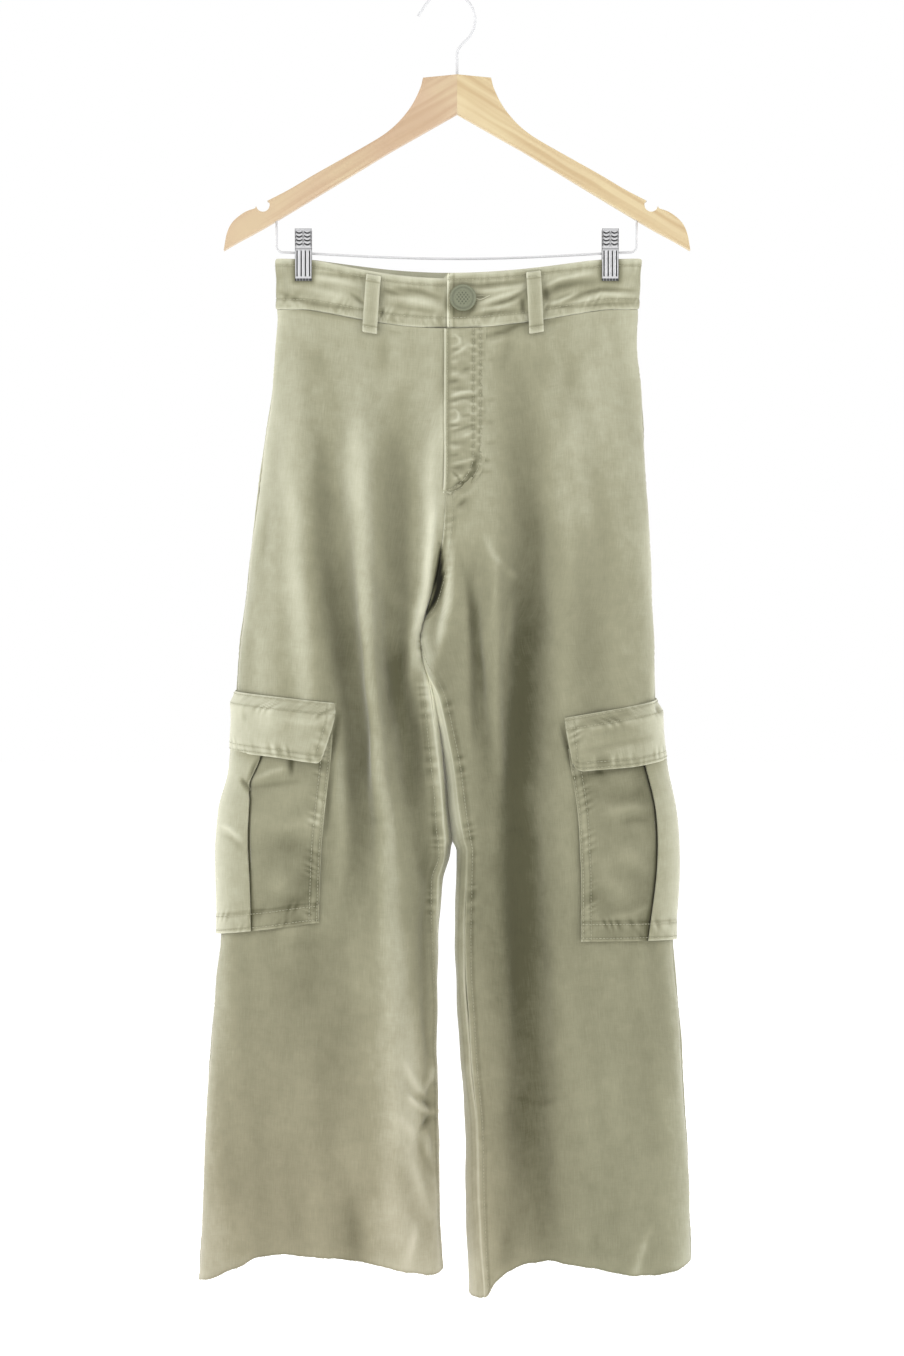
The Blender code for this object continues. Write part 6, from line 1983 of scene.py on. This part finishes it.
def bar_tack(threads, place, normal, way, length, seed):
    """A short dense row of zigzag stitches."""
    draw = np.random.default_rng(seed)
    count = int(length / TACK_PITCH)
    shift = np.linspace(-0.5, 0.5, count)[:, None] * length
    ends = np.array([-1.0, -0.4, 0.4, 1.0])[None, :, None] * TACK_HALF
    lean = draw.normal(0, 0.0001, (count, 1, 1))
    centres = place + way * shift[:, None] + np.cross(normal, way) * ends + way * lean
    threads.lay(centres + normal * STITCH_ARCH, normal, 0.00024, np.full(count, 0.3))


def make_camera():
    """Level camera in front, framed like the photograph."""
    distance, view_height, long_side = 4.0, 1.2950, 36.0
    data = bpy.data.cameras.new("camera")
    data.sensor_width = long_side
    data.lens = long_side * distance / view_height
    camera = placed("camera", data)
    camera.location = (0.0038, -distance, -0.6530)
    camera.rotation_euler = (math.pi / 2, 0, 0)
    bpy.context.scene.camera = camera


def make_light():
    """Soft studio light: large boxes in front, and a bright room round the garment."""
    aim = Vector(LIGHT_AIM)
    for name, place, size, power in LAMPS:
        data = bpy.data.lights.new(name, "AREA")
        data.shape = "SQUARE"
        data.size = size
        data.energy = power
        lamp = placed(name, data)
        lamp.location = place
        lamp.rotation_mode = "QUATERNION"
        lamp.rotation_quaternion = (aim - Vector(place)).to_track_quat("-Z", "Y")
    world = bpy.data.worlds.new("studio")
    world.use_nodes = True
    tree = world.node_tree
    tree.nodes.clear()
    output = tree.nodes.new("ShaderNodeOutputWorld")
    mix = tree.nodes.new("ShaderNodeMixShader")
    for number, strength in ((1, ROOM_LIGHT), (2, BACKDROP_LIGHT)):
        made = tree.nodes.new("ShaderNodeBackground")
        made.inputs["Strength"].default_value = strength
        made.inputs["Color"].default_value = (1, 1, 1, 1)
        tree.links.new(made.outputs[0], mix.inputs[number])
    path = tree.nodes.new("ShaderNodeLightPath")
    tree.links.new(path.outputs["Is Camera Ray"], mix.inputs[0])
    tree.links.new(mix.outputs[0], output.inputs["Surface"])
    bpy.context.scene.world = world
    bpy.context.scene.view_settings.view_transform = "Standard"


def make_floor():
    half, level = 30.0, -1.34
    mesh = bpy.data.meshes.new("floor")
    corners = [(-half, -half, level), (half, -half, level), (half, half, level), (-half, half, level)]
    mesh.from_pydata(corners, [], [(0, 1, 2, 3)])
    mesh.materials.append(floor_material())
    placed("floor", mesh)


def dress(piece, slot, *nodes):
    """Puts a finished piece in the place of its nodes."""
    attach(piece, "root")
    if nodes:
        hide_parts(*nodes)


def hang(cloth, finish, node, thin=3):
    """Builds a cloth piece, puts it in its node's place and states its cut."""
    piece = cloth.build(finish, thin)
    dress(piece, "denim", node)
    flat, area = cloth.cut()
    flat = tuple(round(side, 3) for side in flat)
    print("cut", cloth.name, flat, round(area, 4))
    return piece


def clear_start_file():
    """Takes away the cube, lamp and camera that a new file starts with."""
    for name in ("Cube", "Light", "Camera"):
        if name in bpy.data.objects:
            bpy.data.objects.remove(bpy.data.objects[name])


def fly_tack(cloth, threads):
    """The bar tack at the fly's foot, on its built surface."""
    rows, cols = cloth.lift.shape
    row, col = np.array(0.965 * (rows - 1)), np.array(0.30 * (cols - 1))
    place, normal = between(cloth.final, row, col), between(cloth.normal, row, col)
    way = unit(np.array([math.cos(TACK_SLANT), 0.0, -math.sin(TACK_SLANT)]))
    bar_tack(threads, place, normal, unit(way - normal * (way @ normal)), 0.008, 5)


def dress_legs(denim, thread_finish):
    """Both legs: their panels, pockets and flaps, with their stitching and frayed hems."""
    fray_finish = cloth_material("pale_fray", *FRAY_COLOURS, 0.3)
    for leg in ("right", "left"):
        threads = Threads(f"stitching_{leg}", thread_finish)
        panels = []
        for face in ("front", "back"):
            panels.append(panel(leg, face, threads))
            hang(panels[-1], denim, f"{face}_{leg}", 2)
        pocket = cargo_pocket(leg, threads)
        hang(pocket, denim, f"cargo_pocket_{leg}")
        hang(cargo_flap(leg, threads), denim, f"cargo_flap_{leg}")
        dress(threads.build(), "denim")
        fray = Threads(f"hem_fray_{leg}", fray_finish)
        hem_threads(panels, fray, HEM_SEEDS[leg])
        dress(fray.build(), "denim")


def dress_waist(denim, thread_finish):
    """The waistband, its loops, the fly, the button and its hole."""
    threads = Threads("stitching_waist", thread_finish)
    hang(waistband(threads), denim, "waistband")
    for number, (name, leg, face, top_x, bottom_x) in enumerate(LOOPS):
        loop = belt_loop(name, leg, face, top_x, bottom_x, threads, number)
        hang(loop, denim, name, 2)
    fly_cloth = fly(threads)
    hang(fly_cloth, denim, "fly", 2)
    fly_tack(fly_cloth, threads)
    dress(threads.build(), "denim")
    button_finish = metal_material("button_metal", BUTTON_COLOUR, 0.55, 0.22, 0.10)
    dress(waist_button(button_finish), "button", "waist_button")
    dress(buttonhole(thread_finish), "denim")


def dress_hanger():
    """The wooden arms, the wire and the clips."""
    wire = metal_material("wire_chrome", WIRE_COLOUR, 0.55, 0.0, 0.0, 0.0)
    chrome = metal_material("clip_chrome", CHROME_COLOUR, 0.45, 0.015, 0.50, 0.12)
    for side, way in (("right", -1), ("left", 1)):
        wood = wood_material(f"pale_wood_{side}", *WOOD_COLOURS[side])
        dress(hanger_arm(f"hanger_arm_{side}_wood", way, wood), "wood", f"hanger_arm_{side}")
    for node in ("hanger_hook", "trouser_bar"):
        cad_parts[node].data.materials.clear()
        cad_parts[node].data.materials.append(wire)
    for side, x in zip(("right", "left"), CLIP_X):
        for face, way in (("front", -1), ("back", 1)):
            plate = clip_jaw(f"clip_{side}_{face}_plate", x, way, chrome)
            dress(plate, "clip", f"clip_{side}_{face}")
        dress(clip_spring(f"clip_{side}_coil", x, wire), "clip", f"clip_{side}_spring")


def main():
    clear_start_file()
    denim = cloth_material("sage_denim", *DENIM_COLOURS)
    thread_finish = cloth_material("sage_thread", *THREAD_COLOURS, 0.4)
    dress_legs(denim, thread_finish)
    dress_waist(denim, thread_finish)
    dress_hanger()
    make_camera()
    make_light()
    make_floor()


main()
